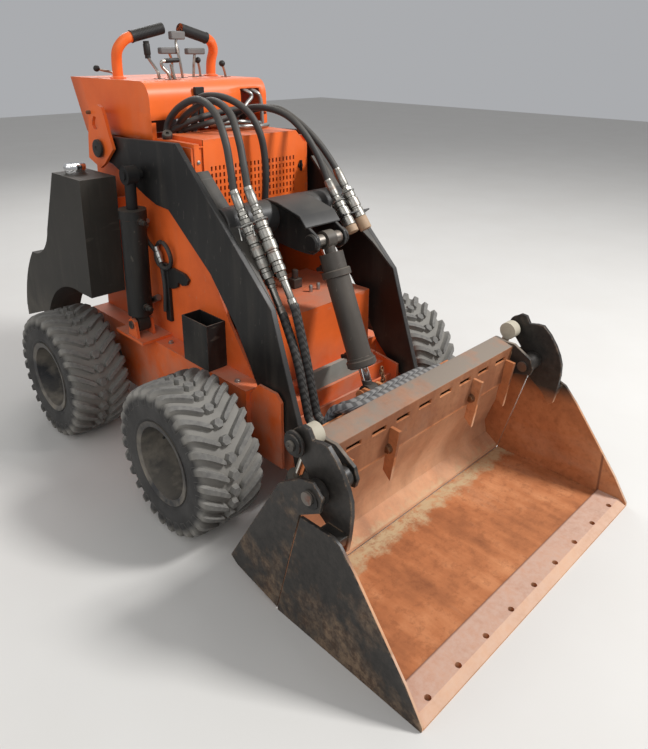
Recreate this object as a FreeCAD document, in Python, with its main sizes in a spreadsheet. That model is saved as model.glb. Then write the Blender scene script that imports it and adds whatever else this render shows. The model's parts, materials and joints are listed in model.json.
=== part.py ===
import FreeCAD, Part
import math
import os
from types import SimpleNamespace

import Sketcher

# Stand-on mini skid steer loader with a 4-in-1 bucket, in millimetres.
# +Z is up, the front is -Y, the machine's right-hand side is -X and it is symmetric about X = 0.
# The origin lies on the ground, midway between the cutting edge and the back of the tank pods.

V = FreeCAD.Vector
DOC = FreeCAD.newDocument("skid_steer_loader")
SHEET = DOC.addObject("Spreadsheet::Sheet", "sizes")
NODES = []

# Driving sizes: name, value, meaning
SIZES = [
    ("half_length", 1183, "cutting edge to the origin, and back of the pods to the origin"),
    ("wheelbase", 817.2, "front axle to rear axle"),
    ("rear_axle_y", 638.6, "rear axle behind the origin"),
    ("tyre_radius", 254, "over the lug tips"),
    ("tyre_body_radius", 234, "under the lugs"),
    ("tyre_wide", 221, "width of the tyre"),
    ("tyre_mid_x", 515, "middle of the tread from the centreline"),
    ("bead_radius", 127, "bead seat of the rim"),
    ("lug_count", 22, "lugs round each half of the tread"),
    ("lug_thick", 21, "lug bar across its length"),
    ("lug_sink", 26, "depth of a lug below its top face"),
    ("tread_block", 17, "half width of a middle block"),
    ("side_x", 262, "outer face of the chassis side plates"),
    ("side_thick", 10, "chassis side plate"),
    ("rail_x", 335, "outer face of the wheel rails"),
    ("rail_top", 430, "top of the wheel rails"),
    ("rail_floor", 150, "underside of the chassis"),
    ("frame_front_y", -409, "front end of the chassis"),
    ("frame_back_y", 840, "rear end of the chassis"),
    ("tower_top", 1168, "top of the chassis towers"),
    ("pivot_y", 602, "lift arm pivot"),
    ("pivot_z", 1122, "lift arm pivot"),
    ("pivot_pin", 22, "radius of the lift arm pin"),
    ("run_gap", 0.05, "radial clearance of a pin in its hole"),
    ("lug_in_x", 306, "inner face of the outer pivot lug"),
    ("lug_plate", 12, "thickness of the outer pivot lug"),
    ("arm_out_x", 300, "outer face of the lift arms"),
    ("arm_thick", 20, "thickness of the lift arms"),
    ("arm_end_y", -510, "bucket hinge at the arms' ends"),
    ("arm_end_z", 135, "bucket hinge at the arms' ends"),
    ("hinge_pin", 16, "radius of the bucket hinge pins"),
    ("cross_y", -75, "middle of the cross tube"),
    ("cross_z", 940, "middle of the cross tube"),
    ("cross_radius", 50, "cross tube"),
    ("lift_x", 345, "lift cylinder axis from the centreline"),
    ("lift_base_y", 370, "lower pin of the lift cylinders"),
    ("lift_base_z", 490, "lower pin of the lift cylinders"),
    ("lift_eye_y", 352, "upper pin of the lift cylinders"),
    ("lift_eye_z", 1056, "upper pin of the lift cylinders"),
    ("lift_bore", 46, "outer radius of the lift barrel"),
    ("lift_rod", 20, "radius of the lift rod"),
    ("lift_pin", 16, "radius of the lift cylinder pins"),
    ("tilt_top_y", -290, "upper pin of the tilt cylinder"),
    ("tilt_top_z", 885, "upper pin of the tilt cylinder"),
    ("tilt_eye_y", -498, "lower pin of the tilt cylinder"),
    ("tilt_eye_z", 395, "lower pin of the tilt cylinder"),
    ("tilt_bore", 41, "outer radius of the tilt barrel"),
    ("tilt_rod", 17, "radius of the tilt rod"),
    ("tilt_pin", 14, "radius of the tilt cylinder pins"),
    ("jaw_y", -812, "hinge of the bucket's front jaw"),
    ("jaw_z", 452, "hinge of the bucket's front jaw"),
    ("jaw_pin", 18, "radius of the jaw hinge pins"),
    ("ear_eye_y", -725, "upper pin of the jaw cylinders"),
    ("ear_eye_z", 548, "upper pin of the jaw cylinders"),
    ("jaw_base_y", -575, "lower pin of the jaw cylinders"),
    ("jaw_base_z", 140, "lower pin of the jaw cylinders"),
    ("jaw_cyl_x", 484, "jaw cylinder axis from the centreline"),
    ("jaw_bore", 26, "outer radius of the jaw barrel"),
    ("jaw_rod", 13, "radius of the jaw rod"),
    ("jaw_cyl_pin", 13, "radius of the jaw cylinder pins"),
    ("bucket_x", 578, "outer face of the bucket's side plates"),
    ("bucket_side", 10, "bucket side plate"),
    ("bucket_wall", 10, "back wall and floor of the bucket"),
    ("edge_thick", 20, "cutting edge"),
    ("ear_out_x", 535, "outer face of the jaw ears"),
    ("ear_thick", 14, "jaw ear plate"),
    ("pod_out_x", 470, "outer face of the tank pods"),
    ("pod_in_x", 330, "inner face of the tank pods"),
    ("pod_top", 1034, "top of the tank pods"),
    ("arch_radius", 331, "wheel arch of the pods about the rear axle"),
    ("console_x", 262, "half width of the console"),
    ("console_wall", 4, "sheet of console and hood"),
    ("console_top", 1369, "top of the console"),
    ("console_front_y", 315, "front face of the console"),
    ("hood_front_y", 80, "front face of the hood"),
    ("hood_x", 251.7, "half width of the hood"),
    ("hood_top", 1200, "top of the hood"),
    ("tray_z", 640, "top of the front box"),
    ("tray_front_y", -262, "front face of the front box"),
]


class Size(float):
    """A length that remembers its formula in the sheet, so that what it sets stays bound to the cells."""

    def __new__(cls, value, text=None):
        made = float.__new__(cls, value)
        made.text = "%.6f" % value if text is None else text
        return made

    def __add__(self, other):
        return join(self, "+", other, float(self) + float(other))

    def __radd__(self, other):
        return join(other, "+", self, float(self) + float(other))

    def __sub__(self, other):
        return join(self, "-", other, float(self) - float(other))

    def __rsub__(self, other):
        return join(other, "-", self, float(other) - float(self))

    def __mul__(self, other):
        return join(self, "*", other, float(self) * float(other))

    def __rmul__(self, other):
        return join(other, "*", self, float(self) * float(other))

    def __truediv__(self, other):
        return join(self, "/", other, float(self) / float(other))

    def __neg__(self):
        return join(-1.0, "*", self, -float(self))


def join(left, sign, right, value):
    """The size that two others give, with both formulas in its own."""
    parts = [side.text if isinstance(side, Size) else "%.6f" % side for side in (left, right)]
    return Size(value, "(%s %s %s)" % (parts[0], sign, parts[1]))


def fill_sheet():
    """Writes the driving sizes to the sheet and returns them as named values."""
    named = SimpleNamespace()
    for row, (name, value, meaning) in enumerate(SIZES, start=1):
        SHEET.set("A%d" % row, name)
        SHEET.set("B%d" % row, str(value))
        SHEET.setAlias("B%d" % row, name)
        SHEET.set("C%d" % row, meaning)
        setattr(named, name, Size(value, "sizes." + name))
    DOC.recompute()
    return named


g = fill_sheet()


def bind(thing, prop, value):
    """Sets a property, through the sheet where the value comes from it."""
    if isinstance(value, Size) and "sizes." in value.text:
        thing.setExpression(prop, value.text)
    else:
        path = prop.split(".")
        if len(path) == 1:
            setattr(thing, prop, float(value))
        else:
            thing.setExpression(prop, "%.6f" % value)


def place(thing, x, y, z, rotation=None):
    """Moves a finished object; each coordinate stays bound to the sheet."""
    if rotation is not None:
        thing.Placement = FreeCAD.Placement(V(float(x), float(y), float(z)), rotation)
    for letter, value in zip("xyz", (x, y, z)):
        bind(thing, "Placement.Base." + letter, value)


def box(name, x, y, z, dx, dy, dz):
    """A block from its low corner and its three sizes."""
    made = DOC.addObject("Part::Box", name)
    bind(made, "Length", dx)
    bind(made, "Width", dy)
    bind(made, "Height", dz)
    place(made, x, y, z)
    return made


TURN_TO_X = FreeCAD.Rotation(V(0, 1, 0), 90)
TURN_TO_Z = FreeCAD.Rotation()


def rod_x(name, x, y, z, radius, long):
    """A round bar along +X from its left end."""
    made = DOC.addObject("Part::Cylinder", name)
    bind(made, "Radius", radius)
    bind(made, "Height", long)
    place(made, x, y, z, TURN_TO_X)
    return made


def rod_z(name, x, y, z, radius, long):
    """A round bar along +Z from its lower end."""
    made = DOC.addObject("Part::Cylinder", name)
    bind(made, "Radius", radius)
    bind(made, "Height", long)
    place(made, x, y, z, TURN_TO_Z)
    return made


def rod_between(name, start, end, radius):
    """A round bar from one point to another."""
    a, b = V(*[float(v) for v in start]), V(*[float(v) for v in end])
    made = DOC.addObject("Part::Cylinder", name)
    bind(made, "Radius", radius)
    made.Height = (b - a).Length
    made.Placement = FreeCAD.Placement(a, FreeCAD.Rotation(V(0, 0, 1), b - a))
    return made


def fuse(name, parts):
    """One solid from several."""
    made = DOC.addObject("Part::MultiFuse", name)
    made.Shapes = parts
    made.Refine = True
    return made


def cut(name, base, tools):
    """A solid less its tools."""
    made = DOC.addObject("Part::Cut", name)
    made.Base = base
    made.Tool = tools[0] if len(tools) == 1 else fuse(name + "_tools", tools)
    made.Refine = True
    return made


def group(name, parts):
    """Like pieces that don't touch, kept as one node."""
    made = DOC.addObject("Part::Compound", name)
    made.Links = parts
    return made


def mirrored(name, source):
    """The same piece on the machine's other side."""
    made = DOC.addObject("Part::Mirroring", name)
    made.Source = source
    made.Normal = V(1, 0, 0)
    return made


def node(label, made):
    """Names a finished piece; the label is also its file's name."""
    made.Label = label
    NODES.append(made)
    return made


def sketch_on(body, role, offset):
    """A sketch on one of the body's own origin planes, moved along the plane's normal."""
    plane = [feature for feature in body.Origin.OriginFeatures if feature.Role == role][0]
    sketch = body.newObject("Sketcher::SketchObject", body.Name + "_sketch")
    sketch.AttachmentSupport = [(plane, "")]
    sketch.MapMode = "FlatFace"
    bind(sketch, "AttachmentOffset.Base.z", offset)
    return sketch


def fix(sketch, kind, geometry, point, value):
    """Holds one coordinate of a sketch point from the sketch's origin."""
    index = sketch.addConstraint(Sketcher.Constraint(kind, -1, 1, geometry, point, float(value)))
    if isinstance(value, Size) and "sizes." in value.text:
        sketch.setExpression("Constraints[%d]" % index, value.text)


def outline_in(sketch, points):
    """A closed outline of straight edges through the points."""
    count = len(points)
    for i in range(count):
        a, b = points[i], points[(i + 1) % count]
        sketch.addGeometry(Part.LineSegment(V(float(a[0]), float(a[1]), 0), V(float(b[0]), float(b[1]), 0)), False)
    for i in range(count):
        sketch.addConstraint(Sketcher.Constraint("Coincident", i, 2, (i + 1) % count, 1))
    for i, point in enumerate(points):
        fix(sketch, "DistanceX", i, 1, point[0])
        fix(sketch, "DistanceY", i, 1, point[1])


def holes_in(sketch, holes):
    """Round holes inside the outline: (across, up, radius)."""
    for across, up, radius in holes:
        index = sketch.addGeometry(Part.Circle(V(float(across), float(up), 0), V(0, 0, 1), float(radius)), False)
        number = sketch.addConstraint(Sketcher.Constraint("Radius", index, float(radius)))
        if isinstance(radius, Size) and "sizes." in radius.text:
            sketch.setExpression("Constraints[%d]" % number, radius.text)
        fix(sketch, "DistanceX", index, 3, across)
        fix(sketch, "DistanceY", index, 3, up)


def plate(name, role, at, thick, outline, holes=()):
    """A flat plate: an outline with holes, padded from its plane along the plane's normal."""
    body = DOC.addObject("PartDesign::Body", name)
    sketch = sketch_on(body, role, at)
    outline_in(sketch, outline)
    holes_in(sketch, holes)
    pad = body.newObject("PartDesign::Pad", name + "_pad")
    pad.Profile = sketch
    bind(pad, "Length", thick)
    return body


def side_plate(name, x, thick, outline, holes=()):
    """A plate whose outline is given in Y and Z, from x towards +X."""
    return plate(name, "YZ_Plane", x, thick, outline, holes)


def lathe(name, profile):
    """A round part about the X axis from its (x, radius) profile."""
    body = DOC.addObject("PartDesign::Body", name)
    sketch = sketch_on(body, "XY_Plane", 0)
    outline_in(sketch, profile)
    turned = body.newObject("PartDesign::Revolution", name + "_turned")
    turned.Profile = sketch
    turned.ReferenceAxis = (sketch, ["H_Axis"])
    turned.Angle = 360
    return body


def wheel_parts():
    """The four tyres and rims; each is made once and set on its own hub."""
    half = g.tyre_wide / 2
    carcass = lathe("carcass", [
        (g.tyre_mid_x - half * 0.78, g.bead_radius + 0.2), (g.tyre_mid_x + half * 0.78, g.bead_radius + 0.2),
        (g.tyre_mid_x + half * 0.95, g.bead_radius + 26), (g.tyre_mid_x + half, g.tyre_body_radius - 44),
        (g.tyre_mid_x + half * 0.96, g.tyre_body_radius - 14), (g.tyre_mid_x + half * 0.72, g.tyre_body_radius),
        (g.tyre_mid_x - half * 0.72, g.tyre_body_radius), (g.tyre_mid_x - half * 0.96, g.tyre_body_radius - 14),
        (g.tyre_mid_x - half, g.tyre_body_radius - 44), (g.tyre_mid_x - half * 0.95, g.bead_radius + 26)])
    mid = float(g.tyre_mid_x)
    top = math.sqrt(float(g.tyre_radius) ** 2 - 29.0 ** 2)
    wide = float(half)
    bar = float(g.lug_thick)
    # a lug's footprint in the tangent plane: across the tread, along the tread
    long_lug = [(wide * 0.99, -8), (wide * 0.99, -8 + bar * 1.25), (wide * 0.2, 29), (wide * 0.16, 29 - bar)]
    block = float(g.tread_block)
    hexagon = [(block, 0), (block * 0.5, 15), (-block * 0.5, 15), (-block, 0), (-block * 0.5, -15),
               (block * 0.5, -15)]
    count = int(g.lug_count)
    pieces = []
    for i in range(count):
        for side, turn, foot, height in ((1, 0.0, long_lug, top), (-1, 0.5, long_lug, top),
                                         (1, 0.84, hexagon, float(g.tyre_radius) - 1.2)):
            points = [V(mid + side * across, along, height) for across, along in foot]
            face = Part.Face(Part.makePolygon(points + points[:1]))
            lug = face.extrude(V(0, 0, -float(g.lug_sink)))
            lug.rotate(V(mid, 0, 0), V(1, 0, 0), (i + turn) * 360.0 / count)
            pieces.append(lug)
    DOC.recompute()
    tread = carcass.Shape.fuse(pieces).removeSplitter()
    rim = lathe("rim_form", [
        (g.tyre_mid_x - 104, g.bead_radius + 12), (g.tyre_mid_x - 104, g.bead_radius - 8),
        (g.tyre_mid_x - 30, g.bead_radius - 12), (g.tyre_mid_x - 24, 60), (g.tyre_mid_x - 24, 38),
        (g.tyre_mid_x - 16, 38), (g.tyre_mid_x - 16, 66), (g.tyre_mid_x - 12, g.bead_radius - 22),
        (g.tyre_mid_x + 104, g.bead_radius - 6), (g.tyre_mid_x + 108, g.bead_radius + 14),
        (g.tyre_mid_x + 100, g.bead_radius + 14), (g.tyre_mid_x + 96, g.bead_radius),
        (g.tyre_mid_x - 96, g.bead_radius), (g.tyre_mid_x - 97, g.bead_radius + 12)])
    DOC.recompute()
    for end, y in (("front", g.rear_axle_y - g.wheelbase), ("rear", g.rear_axle_y)):
        for side, turn in (("left", None), ("right", 180)):
            for kind, shape in (("tyre", tread), ("rim", rim.Shape)):
                made = DOC.addObject("Part::Feature", "%s_%s_%s" % (kind, end, side))
                copy = shape.copy()
                if turn:
                    copy.rotate(V(0, 0, 0), V(0, 0, 1), turn)
                made.Shape = copy
                place(made, 0, y, g.tyre_radius)
                node("%s_%s_%s" % (kind, end, side), made)


def chassis():
    """The welded main frame: side plates, rails, belly, front box, cylinder shelves."""
    t = g.side_thick
    inner = g.side_x - t
    tower = [(g.frame_front_y + 20, g.rail_floor), (g.frame_front_y, g.rail_floor + 60),
             (g.frame_front_y, 380), (-233, 400), (-87, 598), (g.hood_front_y, 880),
             (g.hood_front_y + 4, g.tower_top), (g.console_front_y + 120, g.tower_top),
             (700, g.tower_top), (760, 1040), (800, g.rail_top), (g.frame_back_y, 300),
             (g.frame_back_y, g.rail_floor)]
    pivot_hole = (g.pivot_y, g.pivot_z, g.pivot_pin + g.run_gap)
    right = side_plate("side_right", -g.side_x, t, tower, [pivot_hole])
    left = side_plate("side_left", inner, t, tower, [pivot_hole])
    belly = box("belly", -inner, g.frame_front_y + 30, g.rail_floor, inner * 2, g.frame_back_y - g.frame_front_y - 30, t)
    front = box("front_wall", -inner, g.frame_front_y + 30, g.rail_floor, inner * 2, t, 180)
    back = box("back_wall", -inner, g.frame_back_y - t, g.rail_floor, inner * 2, t, 150)
    rear_post = box("rear_wall", -inner, 690, g.rail_top, inner * 2, t, g.tower_top - g.rail_top - 20)
    parts = [right, left, belly, front, back, rear_post]
    for number, y in enumerate((170, 540)):
        parts.append(box("bearer_%d" % number, -inner, y, g.rail_top, inner * 2, 50, 19.7))
    for number, x in enumerate((-160, 148)):
        parts.append(side_plate("pad_rib_%d" % number, x, 12, [
            (695, 1040), (695, 1125), (861.9, 1125), (806.1, 1040)]))
    for side, x in (("right", -g.rail_x), ("left", g.side_x)):
        wide = g.rail_x - g.side_x
        rail = side_plate("rail_" + side, x, wide, [
            (-255, 200), (-255, g.rail_top), (g.frame_back_y - 40, g.rail_top),
            (g.frame_back_y, 380), (g.frame_back_y, 250), (780, g.rail_floor + 20), (-225, g.rail_floor + 20)])
        parts.append(rail)
        bracket_x = -317 if side == "right" else 307
        parts.append(side_plate("front_bracket_" + side, bracket_x, 10, [
            (g.frame_front_y, 200), (g.frame_front_y, 440), (-384, 465), (-300, 465), (-240, 400), (-240, 200)]))
        for number, y in enumerate((540, 745)):
            parts.append(box("pod_bracket_%s_%d" % (side, number), -g.pod_in_x if side == "right" else g.side_x,
                             y, 640, g.pod_in_x - g.side_x, 14, 300))
    weld = fuse("frame_weld", parts)
    return node("main_frame", weld)


def front_box():
    """The stepped box in front of the hood: tray, front plate, grey cross bar and lower panel."""
    t = g.side_thick
    inner = g.side_x - t
    tray = box("tray_plate", -inner, g.tray_front_y, g.tray_z - t, inner * 2, g.hood_front_y - g.tray_front_y, t)
    face = box("front_plate", -inner, g.tray_front_y, 400, inner * 2, t, g.tray_z - 400 - t)
    sill = box("sill_plate", -inner, g.tray_front_y - 40, 390, inner * 2, 50, t)
    low = box("low_panel", -inner, g.tray_front_y - 80, 170, inner * 2, t, 190)
    low_top = box("low_top", -inner, g.tray_front_y - 80, 360, inner * 2, 50, t)
    lip = box("low_lip", -inner, g.tray_front_y - 40, 360, inner * 2, t, 40)
    solid = fuse("front_box_weld", [tray, face, sill, low, low_top, lip])
    node("front_box", solid)
    bar = box("cross_bar_block", -150, g.tray_front_y - 68, 370.3, 300, 16, 70)
    node("cross_bar", bar)


def towers():
    """The outer lugs that carry the lift arm pins, each closed at its back by a gusset."""
    out = g.lug_in_x + g.lug_plate
    lug = side_plate("lug_right_plate", -out, g.lug_plate, [
        (512, 1130), (600, 1046), (704, 1062), (716, 1150), (792, 1216), (770, 1290), (608, 1290)],
        [(g.pivot_y, g.pivot_z, g.pivot_pin + g.run_gap)])
    gap = g.lug_in_x - g.side_x
    web = box("lug_right_web", -g.lug_in_x, 690, 1062, gap, 14, 100)
    cap = box("lug_right_cap", -g.lug_in_x, 660, 1216, gap, 90, 12)
    right = fuse("lug_right_weld", [lug, web, cap])
    node("pivot_lugs", group("lug_pair", [right, mirrored("lug_left_weld", right)]))
    long = out + 8 - 236
    pins = [rod_x("pivot_pin_right", -(out + 8), g.pivot_y, g.pivot_z, g.pivot_pin, long),
            rod_x("pivot_pin_left", 236, g.pivot_y, g.pivot_z, g.pivot_pin, long),
            rod_x("lift_base_pin_right", -390, g.lift_base_y, g.lift_base_z, g.lift_pin, 88),
            rod_x("lift_base_pin_left", 302, g.lift_base_y, g.lift_base_z, g.lift_pin, 88)]
    node("frame_pins", group("frame_pin_set", pins))


def lift_arms():
    """Both arms and the cross tube with its bracket and tilt ears, one weldment."""
    arm_in = g.arm_out_x - g.arm_thick
    outline = [
        (g.pivot_y + 44, g.pivot_z + 20), (g.pivot_y + 20, g.pivot_z + 48), (531, 1168), (118, 1185), (-348, 735),
        (-472, 371), (-548, 150), (g.arm_end_y - 30, g.arm_end_z - 32), (g.arm_end_y + 20, g.arm_end_z - 38),
        (g.arm_end_y + 45, g.arm_end_z + 10), (-429, 312), (-358, 354), (-280, 429), (-171, 618), (-41, 773),
        (189, 951), (266, 956), (337, 978), (g.pivot_y - 50, g.pivot_z - 58), (g.pivot_y + 24, g.pivot_z - 48)]
    holes = [(g.pivot_y, g.pivot_z, g.pivot_pin + g.run_gap), (g.arm_end_y, g.arm_end_z, g.hinge_pin + g.run_gap)]
    right = side_plate("arm_right_plate", -g.arm_out_x, g.arm_thick, outline, holes)
    left = side_plate("arm_left_plate", arm_in, g.arm_thick, outline, holes)
    tube = rod_x("cross_tube_bar", -arm_in, g.cross_y, g.cross_z, g.cross_radius, arm_in * 2)
    web = g.cross_y - g.tilt_top_y
    bracket = box("bracket_top", -82, g.tilt_top_y + 40, g.cross_z + 22, 164, web - 10, 10)
    ears = []
    for side, x in (("right", -38), ("left", 26)):
        ears.append(side_plate("tilt_ear_" + side, x, 12, [
            (g.tilt_top_y - 24, g.tilt_top_z - 16), (g.tilt_top_y - 16, g.tilt_top_z + 26),
            (g.tilt_top_y + 40, g.cross_z + 28), (g.cross_y, g.cross_z + 30), (g.cross_y, g.cross_z - 30),
            (g.tilt_top_y + 24, g.tilt_top_z - 16), (g.tilt_top_y, g.tilt_top_z - 28)],
            [(g.tilt_top_y, g.tilt_top_z, g.tilt_pin)]))
    node("lift_arms", fuse("arm_weld", [right, left, tube, bracket] + ears))
    node("tilt_top_pin", rod_x("tilt_top_bar", -46, g.tilt_top_y, g.tilt_top_z, g.tilt_pin, 92))


def ram(prefix, x, base, eye, bore, rod_radius, pin, start, rod_from, barrel_long, eye_wide,
        pin_from, pin_to):
    """A cylinder between two pins, as barrel and rod in their real pose.

    Both are drawn along +Z from the base pin and then turned onto the line between the pins.
    """
    dy, dz = float(eye[0] - base[0]), float(eye[1] - base[1])
    long = math.hypot(dy, dz)
    eye_radius = float(pin) + 17
    turn = FreeCAD.Rotation(V(0, 0, 1), V(0, dy, dz))
    at = FreeCAD.Placement(V(float(x), float(base[0]), float(base[1])), turn)
    wall = float(bore) * 0.8
    tube = Part.makeCylinder(float(bore), barrel_long - start, V(0, 0, start))
    tube = tube.fuse(Part.makeCylinder(float(bore) + 4, 34, V(0, 0, barrel_long - 34)))
    tube = tube.fuse(Part.makeCylinder(eye_wide / 2 - 1, start + 2))
    tube = tube.fuse(Part.makeCylinder(eye_radius, eye_wide, V(-eye_wide / 2, 0, 0), V(1, 0, 0)))
    clear = float(rod_radius) + float(g.run_gap)
    tube = tube.cut(Part.makeCylinder(wall, barrel_long - start - 60, V(0, 0, start + 20)))
    tube = tube.cut(Part.makeCylinder(clear, barrel_long, V(0, 0, start + 20)))
    tube = tube.cut(Part.makeCylinder(float(pin) + float(g.run_gap), eye_wide + 2, V(-eye_wide / 2 - 1, 0, 0),
                                      V(1, 0, 0)))
    bar = Part.makeCylinder(float(rod_radius), long - rod_from, V(0, 0, rod_from))
    bar = bar.fuse(Part.makeCylinder(eye_radius, eye_wide, V(-eye_wide / 2, 0, long), V(1, 0, 0)))
    bar = bar.fuse(Part.makeCylinder(float(pin), pin_to - pin_from, V(pin_from, 0, long), V(1, 0, 0)))
    for kind, shape in (("barrel", tube.removeSplitter()), ("rod", bar.removeSplitter())):
        made = DOC.addObject("Part::Feature", "%s_%s" % (prefix, kind))
        made.Shape = shape
        made.Placement = at
        node("%s_%s" % (prefix, kind), made)


def cylinders():
    """The five hydraulic cylinders; lift and jaw come in pairs."""
    for side, sign in (("right", -1), ("left", 1)):
        ram("lift_" + side, sign * g.lift_x, (g.lift_base_y, g.lift_base_z), (g.lift_eye_y, g.lift_eye_z),
            g.lift_bore, g.lift_rod, g.lift_pin, 38, 98, 445, 44,
            -29 if sign < 0 else -44.5, 44.5 if sign < 0 else 29)
        ram("jaw_" + side, sign * g.jaw_cyl_x, (g.jaw_base_y, g.jaw_base_z), (g.ear_eye_y, g.ear_eye_z),
            g.jaw_bore, g.jaw_rod, g.jaw_cyl_pin, 36, 192, 268, 36,
            -36.5 if sign < 0 else -20, 20 if sign < 0 else 36.5)
    ram("tilt", Size(0), (g.tilt_top_y, g.tilt_top_z), (g.tilt_eye_y, g.tilt_eye_z),
        g.tilt_bore, g.tilt_rod, g.tilt_pin, 47, 106, 440, 40, -25.5, 25.5)


def cylinder_mounts():
    """Shelves with cheeks under the lift cylinders."""
    shelf = box("lift_shelf", -392, g.lift_base_y - 80, g.rail_top, 392 - g.side_x, 200, 12)
    cheeks = []
    for name, x in (("out", -384), ("in", -318)):
        cheeks.append(side_plate("lift_cheek_" + name, x, 12, [
            (g.lift_base_y - 34, g.rail_top + 12), (g.lift_base_y + 34, g.rail_top + 12),
            (g.lift_base_y + 22, g.lift_base_z + 16), (g.lift_base_y, g.lift_base_z + 26),
            (g.lift_base_y - 22, g.lift_base_z + 16)],
            [(g.lift_base_y, g.lift_base_z, g.lift_pin + g.run_gap)]))
    right = fuse("lift_base_weld", [shelf] + cheeks)
    node("lift_bases", group("lift_base_pair", [right, mirrored("lift_base_left_weld", right)]))


def bucket_back():
    """Rear half of the bucket: side plates, formed back wall, top beam, lugs and hinge pins."""
    t = g.bucket_side
    outline = [(-470, 60), (-697, 434), (-779, 488), (g.jaw_y - 10, g.jaw_z + 46), (g.jaw_y - 44, g.jaw_z + 14),
               (g.jaw_y - 36, g.jaw_z - 30), (g.jaw_y + 38, g.jaw_z - 76), (-677, 8), (-500, 40)]
    holes = [(g.jaw_y, g.jaw_z, g.jaw_pin)]
    right = side_plate("back_side_right", -g.bucket_x, t, outline, holes)
    left = side_plate("back_side_left", g.bucket_x - t, t, outline, holes)
    inner = g.bucket_x - t
    w = g.bucket_wall
    wall = side_plate("back_wall_form", -inner, inner * 2, [
        (-691, 340), (-640, 200), (-604, 100), (-615, 44), (-668, 8), (-679, 8),
        (-676, 18), (-624, 52), (-614, 100), (-650, 204), (-702, 344)])
    middle = side_plate("back_wall_top", -448, 896, [
        (-748, 470), (-706, 380), (-689, 334), (-698, 334), (-716, 384), (-758, 470)])
    beam = side_plate("beam_form", -448, 896, [
        (-748, 470), (-690, 512), (-690, 524), (-756, 540), (-768, 530), (-758, 470)])
    hook = side_plate("bucket_hook_top", -300, 600, [
        (-586.3, 384), (-586.3, 436), (-742, 452), (-732, 424), (-606, 404)])
    foot = side_plate("bucket_hook_low", -300, 600, [
        (-586.3, 74), (-586.3, 110), (-618, 124), (-618, 72)])
    lugs = []
    for side, x in (("right", -448), ("left", 436)):
        lugs.append(side_plate("inner_lug_" + side, x, 12, [
            (-700, 380), (-690, 520), (-770, 520), (g.jaw_y - 30, g.jaw_z + 26), (g.jaw_y - 30, g.jaw_z - 26),
            (g.jaw_y + 20, g.jaw_z - 36)], holes))
    bases = []
    for name, x in (("right_out", -528), ("right_in", -452), ("left_in", 440), ("left_out", 516)):
        bases.append(side_plate("jaw_base_" + name, x, 12, [
            (g.jaw_base_y + 24, g.jaw_base_z - 20), (g.jaw_base_y + 24, g.jaw_base_z + 16),
            (g.jaw_base_y, g.jaw_base_z + 26), (-632, 160), (-612, 92)],
            [(g.jaw_base_y, g.jaw_base_z, g.jaw_cyl_pin + g.run_gap)]))
    node("bucket_back", fuse("bucket_back_weld", [right, left, wall, middle, beam, hook, foot] + lugs + bases))
    pins = []
    for side, x in (("right", -590), ("left", 430)):
        pins.append(rod_x("jaw_hinge_" + side, x, g.jaw_y, g.jaw_z, g.jaw_pin, 160))
    for side, x in (("right", -532), ("left", 436)):
        pins.append(rod_x("jaw_base_pin_" + side, x, g.jaw_base_y, g.jaw_base_z, g.jaw_cyl_pin, 96))
    node("bucket_pins", group("bucket_pin_set", pins))


def attach_plate():
    """The plate on the arms' ends that the bucket hangs on, with its hinge and tilt lugs."""
    sheet = box("attach_sheet", -330, -586, 70, 660, 12, 360)
    lugs = []
    for name, x in (("right_out", -318), ("right_in", -274), ("left_in", 262), ("left_out", 306)):
        lugs.append(side_plate("hinge_lug_" + name, x, 12, [
            (-580, 90), (g.arm_end_y, g.arm_end_z - 34), (g.arm_end_y + 30, g.arm_end_z - 10),
            (g.arm_end_y + 30, g.arm_end_z + 16), (g.arm_end_y, g.arm_end_z + 34), (-580, 220)],
            [(g.arm_end_y, g.arm_end_z, g.hinge_pin + g.run_gap)]))
    for name, x in (("tilt_right", -38), ("tilt_left", 26)):
        lugs.append(side_plate("hinge_lug_" + name, x, 12, [
            (-580, 320), (g.tilt_eye_y, g.tilt_eye_z - 30), (g.tilt_eye_y + 26, g.tilt_eye_z),
            (g.tilt_eye_y, g.tilt_eye_z + 28), (-580, 428)]))
    for name, x in (("right", -46), ("left", 38)):
        lugs.append(rod_x("tilt_boss_" + name, x, g.tilt_eye_y, g.tilt_eye_z, g.tilt_pin + 8, 8))
    node("attach_plate", fuse("attach_weld", [sheet] + lugs))
    pins = [rod_x("hinge_pin_" + side, x, g.arm_end_y, g.arm_end_z, g.hinge_pin, 72)
            for side, x in (("right", -326), ("left", 254))]
    node("hinge_pins", group("hinge_pin_pair", pins))


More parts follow.
